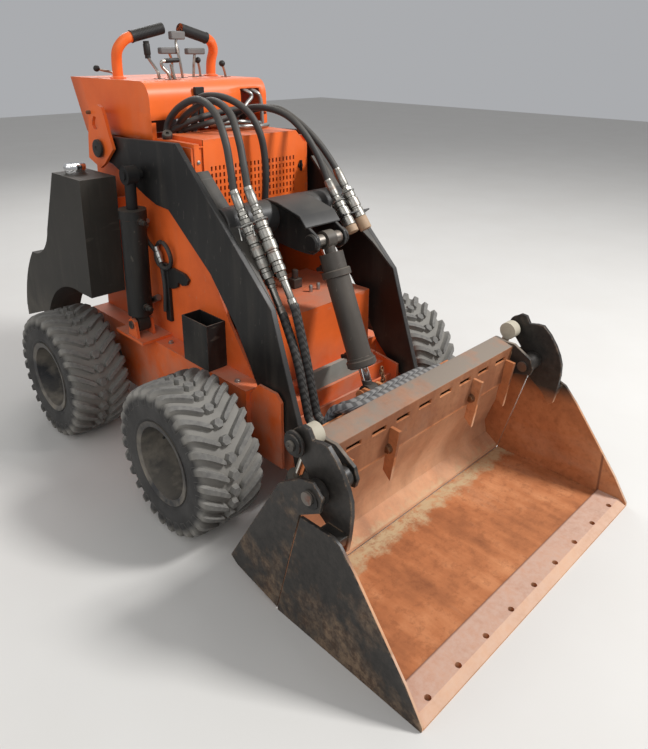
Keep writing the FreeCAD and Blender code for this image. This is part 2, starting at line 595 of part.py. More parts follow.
def bucket_jaw():
    """Front half of the bucket: side plates, floor, cutting edge and the ears that hang on the jaw hinge."""
    t = g.bucket_side
    outline = [(-687, 12), (-687, 0), (-g.half_length, 0), (-g.half_length, 14), (-1131, 96), (-963, 313),
               (-915, 366), (-890, 376), (g.jaw_y + 26, 372)]
    right = side_plate("jaw_side_right", -g.bucket_x, t, outline)
    left = side_plate("jaw_side_left", g.bucket_x - t, t, outline)
    inner = g.bucket_x - t
    floor = box("jaw_floor", -inner, -1100, 0, inner * 2, 413, g.bucket_wall)
    edge = side_plate("jaw_edge", -inner, inner * 2, [
        (-1082, 0), (-g.half_length, 0), (-g.half_length, 6), (-g.half_length + 26, g.edge_thick),
        (-1082, g.edge_thick)])
    ear_outline = [(g.ear_eye_y + 26, g.ear_eye_z + 6), (g.ear_eye_y + 4, g.ear_eye_z + 32), (-760, 584),
                   (-830, 562), (-880, 500), (-900, 420), (-898, 330), (-880, 276), (-840, 276), (-822, 320),
                   (g.jaw_y + 30, g.jaw_z - 50), (g.jaw_y + 52, g.jaw_z + 20), (g.ear_eye_y + 6, g.ear_eye_z - 28)]
    holes = [(g.jaw_y, g.jaw_z, g.jaw_pin + g.run_gap)]
    parts = [right, left, floor, edge]
    for side, x in (("right", -g.ear_out_x), ("left", g.ear_out_x - g.ear_thick)):
        parts.append(side_plate("ear_" + side, x, g.ear_thick, ear_outline, holes))
    wide = inner - g.ear_out_x
    for side, x in (("right", -inner), ("left", g.ear_out_x)):
        parts.append(side_plate("ear_web_" + side, x, wide, [
            (-900, 366), (-890, 340), (-840, 330), (-830, 366)]))
    for side, x in (("right", -g.ear_out_x - 8), ("left", g.ear_out_x)):
        parts.append(rod_x("ear_boss_" + side, x, g.ear_eye_y, g.ear_eye_z, g.jaw_cyl_pin + 7, 8))
    node("bucket_jaw", fuse("jaw_weld", parts))


def hood():
    """The engine hood: a folded sheet box, open at the back and below, with its slotted grille."""
    w = g.console_wall
    x, front, top = g.hood_x, g.hood_front_y, g.hood_top
    slots = []
    face = DOC.addObject("PartDesign::Body", "hood_form")
    sketch = sketch_on(face, "XZ_Plane", -g.console_front_y + 14)
    outline_in(sketch, [(-x, 880), (-x, top - 60), (-x + 60, top), (x - 60, top), (x, top - 60), (x, 880)])
    pad = face.newObject("PartDesign::Pad", "hood_form_pad")
    pad.Profile = sketch
    bind(pad, "Length", g.console_front_y - 14 - front)
    inside = box("hood_inside", -x + w, front + w, 860, (x - w) * 2, 400, top - 60 - 860 - w)
    inside_top = box("hood_inside_top", -x + 62, front + w, 860, (x - 62) * 2, 400, top - 860 - w)
    for row in range(6):
        for column in range(22):
            slots.append(box("slot_%d_%d" % (row, column), -132 + column * 15, front - 2, 985 + row * 24, 6, w + 4, 14))
    return node("hood", cut("hood_cut", face, [inside, inside_top] + slots))


def console():
    """The operator's console: a folded sheet box, open below and behind, with a window for two pipes."""
    w = g.console_wall
    x, front, top = g.console_x, g.console_front_y, g.console_top
    outer = side_plate("console_form", -x, x * 2, [
        (front, 1186), (front, 1332), (front + 53, top), (905, top), (795, 1200)])
    inner = side_plate("console_room", -x + w, (x - w) * 2, [
        (front + w, 1180), (front + w, 1330), (front + 54, top - w), (900, top - w), (788, 1196), (780, 1180)])
    window = box("console_window", 150, front - 2, 1216, 70, w + 4, 72)
    node("console", cut("console_cut", outer, [inner, window]))


def pods():
    """The two tank pods over the rear wheels."""
    axle = (float(g.rear_axle_y), float(g.tyre_radius))
    def arch(radius, degrees):
        a = math.radians(degrees)
        return V(0, axle[0] + radius * math.cos(a), axle[1] + radius * math.sin(a))
    outer = float(g.half_length) - axle[0]
    inner = float(g.arch_radius)
    outer_radius = math.hypot(outer, 121.0)
    points = [V(0, 484, float(g.pod_top)), V(0, 711, float(g.pod_top)), V(0, 832, 790)]
    start, end = arch(outer_radius, 46), V(0, float(g.half_length), 375)
    mid = arch(outer_radius, 29)
    low = V(0, 1000, 388)
    a0, a1, a2 = arch(inner, 24), arch(inner, 60), arch(inner, 97)
    edges = [Part.LineSegment(points[0], points[1]), Part.LineSegment(points[1], points[2]),
             Part.Arc(points[2], V(0, 890, 700), start), Part.Arc(start, mid, end),
             Part.LineSegment(end, V(0, float(g.half_length), 320)), Part.LineSegment(V(0, float(g.half_length), 320), low),
             Part.LineSegment(low, a0), Part.Arc(a0, a1, a2), Part.LineSegment(a2, V(0, 500, 584)),
             Part.LineSegment(V(0, 500, 584), points[0])]
    face = Part.Face(Part.Wire([edge.toShape() for edge in edges]))
    solid = face.extrude(V(float(g.pod_out_x - g.pod_in_x), 0, 0))
    pair = []
    for side, x in (("right", -g.pod_out_x), ("left", g.pod_in_x)):
        made = DOC.addObject("Part::Feature", "pod_" + side)
        made.Shape = solid.copy()
        place(made, x, 0, 0)
        pair.append(made)
    node("tank_pods", group("pod_pair", pair))
    caps = [rod_z("filler_" + side, x, 640, g.pod_top, 33, 34) for side, x in (("right", -410), ("left", 410))]
    node("filler_caps", group("filler_cap_pair", caps))


def platform():
    """The operator's step behind the machine, between the pods."""
    deck = box("deck", -300, g.frame_back_y, 190, 600, 300, 8)
    lip = box("deck_lip", -300, g.frame_back_y + 292, 150, 600, 8, 40)
    sides = [side_plate("deck_side_" + side, x, 8, [
        (g.frame_back_y, 160), (g.frame_back_y + 300, 150), (g.frame_back_y + 300, 240), (g.frame_back_y, 330)])
        for side, x in (("right", -308), ("left", 300))]
    node("step_platform", fuse("platform_weld", [deck, lip] + sides))


def engine():
    """The engine and pump as one plain block at their real place."""
    node("engine_block", box("engine_form", -170, 150, 450, 340, 470, 450))
    motors = []
    for end, y in (("front", g.rear_axle_y - g.wheelbase), ("rear", g.rear_axle_y)):
        for side, x, shaft_x in (("right", -g.rail_x - 130, -g.rail_x - 175), ("left", g.rail_x, g.rail_x)):
            name = "motor_%s_%s" % (end, side)
            motors.append(fuse(name, [rod_x(name + "_case", x, y, g.tyre_radius, 66, 130),
                                      rod_x(name + "_shaft", shaft_x, y, g.tyre_radius, 38 - g.run_gap, 175)]))
    node("wheel_hubs", group("wheel_hub_set", motors))


def controls():
    """Handles, levers and pads at the operator's end."""
    tubes = []
    for side, sign in (("right", -1), ("left", 1)):
        points = [V(sign * 213, 615, float(g.console_top) + 0.3), V(sign * 213, 615, 1392),
                  V(sign * 215, 572, 1462), V(sign * 170, 550, 1500), V(sign * 40, 555, 1550)]
        rods = [rod_between("handle_%s_%d" % (side, i), points[i], points[i + 1], Size(17))
                for i in range(4)]
        balls = []
        for i in (1, 2, 3):
            ball = DOC.addObject("Part::Sphere", "handle_%s_ball_%d" % (side, i))
            ball.Radius = 17
            place(ball, points[i].x, points[i].y, points[i].z)
            balls.append(ball)
        tubes.append(fuse("handle_%s_tube" % side, rods + balls))
    node("handles", group("handle_pair", tubes))
    levers = []
    for name, x, y, z, lean in (("drive_right", -83, 530, 1480, 40), ("drive_left", 83, 530, 1480, 40),
                                ("throttle", -240, 720, 1407, 0), ("aux", 124, 580, 1436, 30),
                                ("lift", -110, 590, 1484, 30), ("tilt", 247, 580, 1420, 30)):
        boot = rod_z("boot_" + name, x, y + lean, g.console_top + 0.3, 13, 14)
        stem = rod_between("stem_" + name, (x, y + lean, float(g.console_top) + 8), (x, y, z), Size(6))
        knob = DOC.addObject("Part::Sphere", "knob_" + name)
        knob.Radius = 16
        place(knob, x, y, z)
        levers.append(fuse("lever_" + name, [boot, stem, knob]))
    node("levers", group("lever_set", levers))
    node("thigh_pad", side_plate("pad_form", -230, 460, [
        (800, 1030), (905, 1190), (930, 1300), (975, 1300), (965, 1180), (830, 1020)]))


def tool_box():
    """The open black box on the right-hand side plate."""
    x = -g.rail_x - 5
    outer = box("tool_outer", x, -60, g.rail_top, g.rail_x + 5 - g.side_x, 150, 170)
    room = box("tool_room", x + 4, -56, g.rail_top + 4, g.rail_x + 5 - g.side_x - 8, 142, 200)
    node("side_box", cut("tool_cut", outer, [room]))


def main():
    """Builds every piece, checks it and writes its file."""
    wheel_parts()
    chassis()
    front_box()
    towers()
    lift_arms()
    cylinders()
    cylinder_mounts()
    bucket_back()
    attach_plate()
    bucket_jaw()
    hood()
    console()
    pods()
    platform()
    engine()
    controls()
    tool_box()
    DOC.recompute()
    broken = [thing.Name for thing in DOC.Objects if "Invalid" in thing.State or "Error" in thing.State]
    broken += [made.Label for made in NODES if made.Shape.isNull() or not made.Shape.isValid()]
    if broken:
        raise RuntimeError("not built: " + ", ".join(broken))
    os.makedirs("parts", exist_ok=True)
    for made in NODES:
        made.Shape.exportStep("parts/%s.step" % made.Label)
    print("nodes", len(NODES))


main()
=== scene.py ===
"""Looks of a wheeled stand-on mini loader with a four-in-one bucket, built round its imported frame.

Metres throughout, +Z up, the machine's front towards -Y and its right-hand side towards -X.
"""
from __future__ import annotations

import json
import logging
import math
from dataclasses import dataclass
from enum import Enum
from typing import Callable

import bmesh
import bpy
import numpy as np
from mathutils import Matrix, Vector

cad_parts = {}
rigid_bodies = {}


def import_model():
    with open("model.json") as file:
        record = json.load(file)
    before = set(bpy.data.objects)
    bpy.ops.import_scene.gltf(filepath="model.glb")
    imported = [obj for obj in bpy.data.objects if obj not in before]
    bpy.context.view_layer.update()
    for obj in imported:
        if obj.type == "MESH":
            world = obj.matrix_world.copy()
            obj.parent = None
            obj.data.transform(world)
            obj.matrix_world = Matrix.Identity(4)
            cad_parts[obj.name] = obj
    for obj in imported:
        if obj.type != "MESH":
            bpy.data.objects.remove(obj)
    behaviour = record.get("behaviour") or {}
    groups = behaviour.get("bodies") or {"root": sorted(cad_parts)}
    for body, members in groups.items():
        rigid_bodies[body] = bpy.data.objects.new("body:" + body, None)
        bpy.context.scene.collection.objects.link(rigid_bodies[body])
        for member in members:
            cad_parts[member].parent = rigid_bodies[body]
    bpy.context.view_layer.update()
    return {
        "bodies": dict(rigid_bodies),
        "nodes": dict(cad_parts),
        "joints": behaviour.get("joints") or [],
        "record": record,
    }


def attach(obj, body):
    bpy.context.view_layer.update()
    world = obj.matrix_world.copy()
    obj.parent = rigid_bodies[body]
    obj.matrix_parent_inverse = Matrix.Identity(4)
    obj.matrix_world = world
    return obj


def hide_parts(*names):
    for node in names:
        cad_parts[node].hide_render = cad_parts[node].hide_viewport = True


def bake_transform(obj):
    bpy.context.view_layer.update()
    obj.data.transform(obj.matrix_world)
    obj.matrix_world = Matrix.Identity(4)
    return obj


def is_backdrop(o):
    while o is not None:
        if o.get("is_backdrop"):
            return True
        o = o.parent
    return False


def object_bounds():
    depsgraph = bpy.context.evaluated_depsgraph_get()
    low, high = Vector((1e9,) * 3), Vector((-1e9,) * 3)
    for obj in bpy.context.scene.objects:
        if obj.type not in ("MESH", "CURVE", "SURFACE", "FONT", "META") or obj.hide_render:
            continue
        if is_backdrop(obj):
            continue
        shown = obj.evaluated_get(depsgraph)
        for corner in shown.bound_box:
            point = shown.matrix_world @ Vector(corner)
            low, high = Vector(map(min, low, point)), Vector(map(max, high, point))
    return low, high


log = logging.getLogger("loader")
Array = np.ndarray
Colour = tuple[float, float, float, float]


class Side(Enum):
    """The two sides of the machine, with the sign of X on each."""

    RIGHT = -1
    LEFT = 1

    @property
    def word(self) -> str:
        """The side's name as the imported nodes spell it."""
        return self.name.lower()


def srgb(red: int, green: int, blue: int) -> Colour:
    """A screen colour of 0 to 255 as linear light: (c + 0.055) / 1.055 to the power 2.4, c / 12.92 when dark."""
    c = np.array([red, green, blue]) / 255.0
    linear = np.where(c <= 0.04045, c / 12.92, ((c + 0.055) / 1.055) ** 2.4)
    return float(linear[0]), float(linear[1]), float(linear[2]), 1.0


# ---- shapes ----------------------------------------------------------------------------------------------------


@dataclass
class Shell:
    """A surface before it becomes a mesh: its points, blocks of equal-sided faces, and a UV pair for each point."""

    points: Array
    faces: list[Array]
    uv: Array | None = None


def unit(v: Array) -> Array:
    """Vectors divided by their own length."""
    return v / np.maximum(np.linalg.norm(v, axis=-1, keepdims=True), 1e-12)


def merge(shells: list[Shell]) -> Shell:
    """Several shells as one: the points are stacked and each face number is raised by the points before it."""
    starts = np.cumsum([0] + [len(s.points) for s in shells])
    faces = [block + start for s, start in zip(shells, starts) for block in s.faces]
    uv = [s.uv if s.uv is not None else np.zeros((len(s.points), 2)) for s in shells]
    return Shell(np.vstack([s.points for s in shells]), faces, np.vstack(uv))


def grid_faces(rows: int, columns: int, close_rows: bool = False, close_columns: bool = False) -> Array:
    """Quads of a grid of points: each joins point (i, j) to (i+1, j), (i+1, j+1) and (i, j+1).

    Args:
        rows: points along the first parameter.
        columns: points along the second parameter.
        close_rows: whether the last row joins the first.
        close_columns: whether the last column joins the first.

    Returns:
        An array of point numbers, four to a face.
    """
    i, j = np.meshgrid(np.arange(rows if close_rows else rows - 1),
                       np.arange(columns if close_columns else columns - 1), indexing="ij")
    k, m = (i + 1) % rows, (j + 1) % columns
    return np.stack([i * columns + j, k * columns + j, k * columns + m, i * columns + m], -1).reshape(-1, 4)


def axes_of(direction: Array) -> tuple[Array, Array, Array]:
    """Three square unit vectors, the last along the direction: the first is its cross product with the least axis."""
    w = unit(np.asarray(direction, float))
    least = np.eye(3)[np.argmin(np.abs(w))]
    u = unit(np.cross(least, w))
    return u, np.cross(w, u), w


def lathe(profile: list[tuple[float, float]], centre: tuple[float, float, float],
          axis: tuple[float, float, float], steps: int = 32) -> Shell:
    """A profile turned about an axis: point = centre + along * axis + radius * (cos t * u + sin t * v).

    Args:
        profile: pairs of distance along the axis and radius.
        centre: where along is nought.
        axis: the direction of the axis.
        steps: points round the axis.

    Returns:
        The shell, closed by a flat face at an end whose radius isn't nought.
    """
    u, v, w = axes_of(np.array(axis))
    along, radius = np.array(profile, float).T
    t = np.linspace(0, 2 * math.pi, steps, endpoint=False)
    ring = np.cos(t)[:, None] * u + np.sin(t)[:, None] * v
    points = np.asarray(centre, float) + along[:, None, None] * w + radius[:, None, None] * ring
    faces = [grid_faces(len(along), steps, close_columns=True)]
    faces += [np.arange(steps)[None] + row * steps for row in (0, len(along) - 1) if radius[row] > 1e-6]
    uv = np.stack(np.meshgrid(along, t / (2 * math.pi), indexing="ij"), -1).reshape(-1, 2)
    return Shell(points.reshape(-1, 3), faces, uv)


def smooth_path(points: list[tuple[float, float, float]], per_span: int = 8) -> Array:
    """A curve through all the points: on each span a cubic whose end slopes are half the step between neighbours."""
    p = np.asarray(points, float)
    p = np.vstack([2 * p[0] - p[1], p, 2 * p[-1] - p[-2]])
    a, b, c, d = (p[i:len(p) - 3 + i, None] for i in range(4))
    t = np.linspace(0, 1, per_span, endpoint=False)[None, :, None]
    cubic = 0.5 * (2 * b + (c - a) * t + (2 * a - 5 * b + 4 * c - d) * t ** 2 + (3 * b - 3 * c + d - a) * t ** 3)
    return np.vstack([cubic.reshape(-1, p.shape[1]), p[-2:-1]])


def bent_path(points: list[tuple[float, float, float]], radius: float, arc: int = 6) -> Array:
    """Straight runs with round bends: near each corner a parabola from radius before it to radius past it."""
    p = np.asarray(points, float)
    back, ahead = unit(p[:-2] - p[1:-1]), unit(p[2:] - p[1:-1])
    t = np.linspace(0, 1, arc)[None, :, None]
    start, corner, end = p[1:-1, None] + radius * back[:, None], p[1:-1, None], p[1:-1, None] + radius * ahead[:, None]
    bends = (1 - t) ** 2 * start + 2 * t * (1 - t) * corner + t ** 2 * end
    return np.vstack([p[:1], bends.reshape(-1, 3), p[-1:]])


def sweep(path: Array, section: Array, scale: Array | float = 1.0) -> Shell:
    """A section carried along a path: point = path + scale * (across * side + up * top).

    The side is the cross product of the path's direction with the normal of the plane that fits the path best.

    Args:
        path: the points that the section's middle runs through.
        section: the section's closed outline, as pairs (across, up).
        scale: size of the section, one value or one for each path point.

    Returns:
        The shell, closed by flat faces at both ends; U is the length along the path in metres, V the share round it.
    """
    tangent = unit(np.gradient(path, axis=0))
    normal = np.linalg.svd(path - path.mean(0))[2][-1]
    side = unit(np.cross(tangent, normal))
    top = np.cross(side, tangent)
    size = np.broadcast_to(np.asarray(scale, float), (len(path),))[:, None, None]
    points = path[:, None] + size * (section[None, :, :1] * side[:, None] + section[None, :, 1:] * top[:, None])
    count = len(section)
    faces = [grid_faces(len(path), count, close_columns=True), np.arange(count)[None],
             np.arange(count)[None] + (len(path) - 1) * count]
    length = np.concatenate([[0], np.cumsum(np.linalg.norm(np.diff(path, axis=0), axis=1))])
    uv = np.stack(np.meshgrid(length, np.arange(count) / count, indexing="ij"), -1).reshape(-1, 2)
    return Shell(points.reshape(-1, 3), faces, uv)


def circle(radius: float, sides: int = 14) -> Array:
    """A round section: radius times the cosine and sine of even steps."""
    t = np.linspace(0, 2 * math.pi, sides, endpoint=False)
    return radius * np.stack([np.cos(t), np.sin(t)], -1)


def tube(path: Array, radius: float, sides: int = 14) -> Shell:
    """A round tube along a path."""
    return sweep(path, circle(radius, sides))


def sleeves(path: Array, bands: list[tuple[float, float, float]], sides: int = 16) -> Shell:
    """A round bar whose radius changes in steps along a path, each step with a small chamfer.

    Args:
        path: two or more points that the bar follows.
        bands: rows of (start, end, radius), as shares of the path's length and metres.
        sides: points round the bar.

    Returns:
        The shell; at share s the radius is the band's, less a chamfer of a tenth at its two ends.
    """
    shares = np.array([[a, a + (b - a) * 0.06, b - (b - a) * 0.06, b - 1e-4] for a, b, _ in bands]).ravel()
    radii = np.array([[r * 0.9, r, r, r * 0.9] for _, _, r in bands]).ravel()
    length = np.concatenate([[0], np.cumsum(np.linalg.norm(np.diff(path, axis=0), axis=1))])
    at = np.stack([np.interp(shares * length[-1], length, path[:, k]) for k in range(3)], -1)
    return sweep(at, circle(1.0, sides), radii)


def slab(outline: list[tuple[float, float]], low: float, high: float, axis: int = 0) -> Shell:
    """A flat plate: the outline at two levels of one axis, joined by quads and closed by its two faces.

    Args:
        outline: pairs on the two other axes, in their order.
        low: the plate's lower level.
        high: its upper level.
        axis: 0 for a plate across X, 1 across Y and 2 across Z.

    Returns:
        The closed shell.
    """
    flat = np.array(outline, float)
    rings = [np.insert(flat, axis, level, axis=1) for level in (low, high)]
    count = len(flat)
    faces = [grid_faces(2, count, close_columns=True), np.arange(count)[None], np.arange(count)[None] + count]
    return Shell(np.vstack(rings), faces)


def twins(outline: list[tuple[float, float]], low: float, high: float) -> list[Shell]:
    """The same plate across X on both sides of the machine, between two distances from its middle."""
    return [slab(outline, *sorted((side.value * low, side.value * high))) for side in Side]


def block(low: tuple[float, float, float], high: tuple[float, float, float]) -> Shell:
    """A block from its low and high corners; its edges are rounded by the piece's bevel."""
    return slab([(low[1], low[2]), (high[1], low[2]), (high[1], high[2]), (low[1], high[2])], low[0], high[0])


def stamp(shell: Shell, centres: list[tuple[float, float, float]], direction: tuple[float, float, float]) -> Shell:
    """Copies of a shell drawn about +Z: point = centre + x * u + y * v + z * direction, for all centres at once."""
    frame = np.stack(axes_of(np.array(direction)))
    at = np.asarray(centres, float)
    points = (shell.points @ frame)[None] + at[:, None]
    count = len(shell.points)
    faces = [(block_[None] + (np.arange(len(at)) * count)[:, None, None]).reshape(-1, block_.shape[1])
             for block_ in shell.faces]
    uv = None if shell.uv is None else np.tile(shell.uv, (len(at), 1))
    return Shell(points.reshape(-1, 3), faces, uv)


def hex_bolt(across: float) -> Shell:
    """A hexagon head on its washer, drawn about +Z from the surface it sits on."""
    r = across / 2
    washer = lathe([(-0.001, r * 1.3), (r * 0.22, r * 1.3), (r * 0.28, r * 1.2)], (0, 0, 0), (0, 0, 1), 20)
    head = lathe([(0, r * 1.12), (r * 0.85, r * 1.12), (r * 1.0, r * 0.92)], (0, 0, 0), (0, 0, 1), 6)
    return merge([washer, head])


def button(radius: float, height: float) -> Shell:
    """A round cap with a soft edge and a dimple, drawn about +Z."""
    return lathe([(-0.001, radius), (height * 0.6, radius), (height * 0.85, radius * 0.95), (height, radius * 0.8),
                  (height, radius * 0.3), (height * 0.7, radius * 0.22), (height * 0.7, 0.0)],
                 (0, 0, 0), (0, 0, 1), 24)


def pierced(us: Array, vs: Array, open_cells: Array, levels: tuple[float, float],
            place: Callable[[Array, Array, Array], tuple[Array, Array, Array]]) -> Shell:
    """A sheet with rectangular openings: solid cells get a face on both levels, their free edges a wall.

    Args:
        us: lines along the sheet's first direction.
        vs: lines along its second direction.
        open_cells: true where the cell between two lines of each is open.
        levels: the sheet's two faces.
        place: turns arrays (u, v, level) into X, Y and Z.

    Returns:
        The closed sheet.
    """
    m, n = len(us), len(vs)
    u, v = np.meshgrid(us, vs, indexing="ij")
    points = np.vstack([np.stack(place(u, v, np.full(u.shape, level)), -1).reshape(-1, 3) for level in levels])
    solid = ~open_cells
    i, j = np.nonzero(solid)
    quads = np.stack([i * n + j, (i + 1) * n + j, (i + 1) * n + j + 1, i * n + j + 1], -1)
    padded = np.pad(solid, 1)
    i, j = np.nonzero(padded[:-1, 1:-1] != padded[1:, 1:-1])
    walls_u = np.stack([i * n + j, i * n + j + 1, i * n + j + 1 + m * n, i * n + j + m * n], -1)
    i, j = np.nonzero(padded[1:-1, :-1] != padded[1:-1, 1:])
    walls_v = np.stack([i * n + j, (i + 1) * n + j, (i + 1) * n + j + m * n, i * n + j + m * n], -1)
    return Shell(points, [quads, quads + m * n, walls_u, walls_v])


def cut_out(made: bpy.types.Object, pegs: Shell) -> None:
    """Takes closed shells out of a piece, as one cutter."""
    mesh = bpy.data.meshes.new("pegs")
    mesh.from_pydata(pegs.points.tolist(), [], [row for part in pegs.faces for row in part.tolist()])
    work = bmesh.new()
    work.from_mesh(mesh)
    bmesh.ops.recalc_face_normals(work, faces=work.faces)
    work.to_mesh(mesh)
    work.free()
    cutter = bpy.data.objects.new("pegs", mesh)
    bpy.context.scene.collection.objects.link(cutter)
    holes = made.modifiers.new("holes", "BOOLEAN")
    holes.operation, holes.object, holes.solver = "DIFFERENCE", cutter, "EXACT"
    bpy.context.view_layer.update()
    cut = bpy.data.meshes.new_from_object(made.evaluated_get(bpy.context.evaluated_depsgraph_get()))
    made.modifiers.remove(holes)
    made.data = cut
    bpy.data.objects.remove(cutter)
    bpy.data.meshes.remove(mesh)


# ---- finishes --------------------------------------------------------------------------------------------------


class NodeBench:
    """A material and short calls that lay out its nodes."""

    SPECULAR = 0.35

    def __init__(self, name: str) -> None:
        """Starts a material with its one shader."""
        self.material = bpy.data.materials.new(name)
        self.material.use_nodes = True
        self.tree = self.material.node_tree
        self.shader = self.tree.nodes["Principled BSDF"]
        self.coords = self.add("ShaderNodeTexCoord")
        self.where = self.coords.outputs["Object"]

    def add(self, kind: str, settings: dict | None = None, **sockets) -> bpy.types.Node:
        """Adds a node; a socket's value is a link or a number, and its name is written with _ for a space."""
        made = self.tree.nodes.new(kind)
        for key, value in (settings or {}).items():
            setattr(made, key, value)
        for key, value in sockets.items():
            self.feed(made, key, value)
        return made

    def feed(self, node: bpy.types.Node, key: str, value) -> None:
        """Sets one socket by its name, or by its number as n0, n1 and so on."""
        numbered = key[0] == "n" and key[1:].isdigit()
        socket = node.inputs[int(key[1:]) if numbered else key.replace("_", " ")]
        if isinstance(value, bpy.types.NodeSocket):
            self.tree.links.new(value, socket)
        else:
            socket.default_value = value

    def math(self, operation: str, a, b=0.0):
        """One step of arithmetic."""
        return self.add("ShaderNodeMath", {"operation": operation}, n0=a, n1=b).outputs[0]

    def times(self, a, b):
        """The product of two values."""
        return self.math("MULTIPLY", a, b)

    def plus(self, a, b):
        """The sum of two values."""
        return self.math("ADD", a, b)

    def most(self, a, b):
        """The larger of two values."""
        return self.math("MAXIMUM", a, b)

    def step(self, value, at: float, soft: float):
        """0 below a value and 1 above it, over twice the soft width; the other way round where that is negative."""
        return self.spread(value, at - soft, at + soft)

    def spread(self, value, low: float, high: float, start: float = 0.0, end: float = 1.0):
        """A value's low to high made start to end, held at both."""
        return self.add("ShaderNodeMapRange", None, Value=value, From_Min=low, From_Max=high,
                        To_Min=start, To_Max=end).outputs[0]

    def noise(self, scale: float, detail: float = 5.0, stretch: tuple[float, float, float] = (1, 1, 1),
              rough: float = 0.6, where=None):
        """Cloudy noise over the object, drawn out along the axes with a small stretch."""
        at = self.add("ShaderNodeMapping", None, Vector=where or self.where, Scale=stretch).outputs[0]
        return self.add("ShaderNodeTexNoise", None, Vector=at, Scale=scale, Detail=detail,
                        Roughness=rough).outputs["Fac"]

    def mix(self, share, a, b):
        """Colour a turned to colour b by a share."""
        return self.add("ShaderNodeMix", {"data_type": "RGBA"}, n0=share, n6=a, n7=b).outputs[2]

    def blend(self, share, a, b):
        """Number a turned to number b by a share."""
        return self.add("ShaderNodeMix", {"data_type": "FLOAT"}, n0=share, n2=a, n3=b).outputs[0]

    def normal_parts(self):
        """The face's own normal as its three numbers."""
        geometry = self.add("ShaderNodeNewGeometry")
        return self.add("ShaderNodeSeparateXYZ", None, Vector=geometry.outputs["True Normal"]).outputs

    def place_parts(self):
        """The place on the object as its three numbers."""
        return self.add("ShaderNodeSeparateXYZ", None, Vector=self.where).outputs

    def edges(self, radius: float):
        """1 near a sharp edge and 0 on a flat face: how far the rounded normal leaves the plain one."""
        rounded = self.add("ShaderNodeBevel", {"samples": 4}, Radius=radius)
        geometry = self.add("ShaderNodeNewGeometry")
        dot = self.add("ShaderNodeVectorMath", {"operation": "DOT_PRODUCT"}, n0=rounded.outputs[0],
                       n1=geometry.outputs["Normal"]).outputs["Value"]
        return self.spread(dot, 0.995, 0.86)

    def bump(self, height, strength: float, distance: float):
        """A relief from a height."""
        made = self.add("ShaderNodeBump", None, Height=height, Strength=strength, Distance=distance)
        self.tree.links.new(made.outputs[0], self.shader.inputs["Normal"])

    def finish(self, colour, roughness, metallic=0.0) -> bpy.types.Material:
        """Feeds the shader and returns the material."""
        for key, value in (("Base Color", colour), ("Roughness", roughness), ("Metallic", metallic)):
            self.feed(self.shader, key.replace(" ", "_"), value)
        self.shader.inputs["Specular IOR Level"].default_value = self.SPECULAR
        return self.material


DUST = srgb(168, 158, 142)
BARE_STEEL = srgb(120, 116, 110)
RUST_MID = srgb(112, 64, 40)


@dataclass(frozen=True)
class Paint:
    """Sprayed enamel with dust on its upper faces, chipped edges and rain streaks; where asked, the faces not turned
    along X are lighter, partly wear and partly a painted sheen.
    """

    name: str
    colour: Colour
    shade: Colour
    rough: float = 0.42
    dust: float = 0.35
    chips: float = 0.5
    low_dirt: float = 0.4
    edge_colour: Colour = BARE_STEEL
    edge_share: float = 0.0
    streaks: float = 0.06

    def make(self) -> bpy.types.Material:
        """Lays out the finish."""
        b = NodeBench(self.name)
        cloud, fine = b.noise(5.0, 6.0), b.noise(38.0, 4.0)
        streak = b.noise(16.0, 4.0, (1.0, 1.0, 0.12))
        colour = b.mix(b.spread(cloud, 0.35, 0.72), self.colour, self.shade)
        colour = b.mix(b.times(b.spread(streak, 0.5, 0.78), self.streaks), colour, DUST)
        normal, place = b.normal_parts(), b.place_parts()
        up = b.spread(normal[2], 0.35, 0.95)
        lie = b.times(b.times(up, b.spread(cloud, 0.25, 0.65)), self.dust)
        low = b.times(b.spread(place[2], 0.55, 0.12), b.spread(b.noise(9.0, 7.0), 0.38, 0.62))
        dirt = b.most(lie, b.times(low, self.low_dirt))
        colour = b.mix(dirt, colour, DUST)
        edge = b.edges(0.004)
        # Faces not turned along X take a lighter colour: edge wear together with a painted sheen.
        if self.edge_share:
            side = b.spread(b.math("ABSOLUTE", normal[0]), 0.9, 0.5)
            colour = b.mix(b.times(side, self.edge_share), colour, self.edge_colour)
        bare = b.times(edge, b.spread(fine, 0.52 - 0.1 * self.chips, 0.6))
        colour = b.mix(b.times(bare, self.chips), colour, b.mix(b.spread(cloud, 0.4, 0.6), BARE_STEEL, RUST_MID))
        scratch = b.spread(b.noise(90.0, 2.0, (0.08, 1.0, 0.3)), 0.68, 0.72)
        colour = b.mix(b.times(scratch, 0.25 * self.chips), colour, DUST)
        b.bump(b.plus(b.times(fine, 0.4), b.noise(220.0, 2.0)), 0.12, 0.0006)
        rough = b.blend(b.most(dirt, b.times(bare, 0.5)), self.rough, 0.85)
        return b.finish(colour, rough)


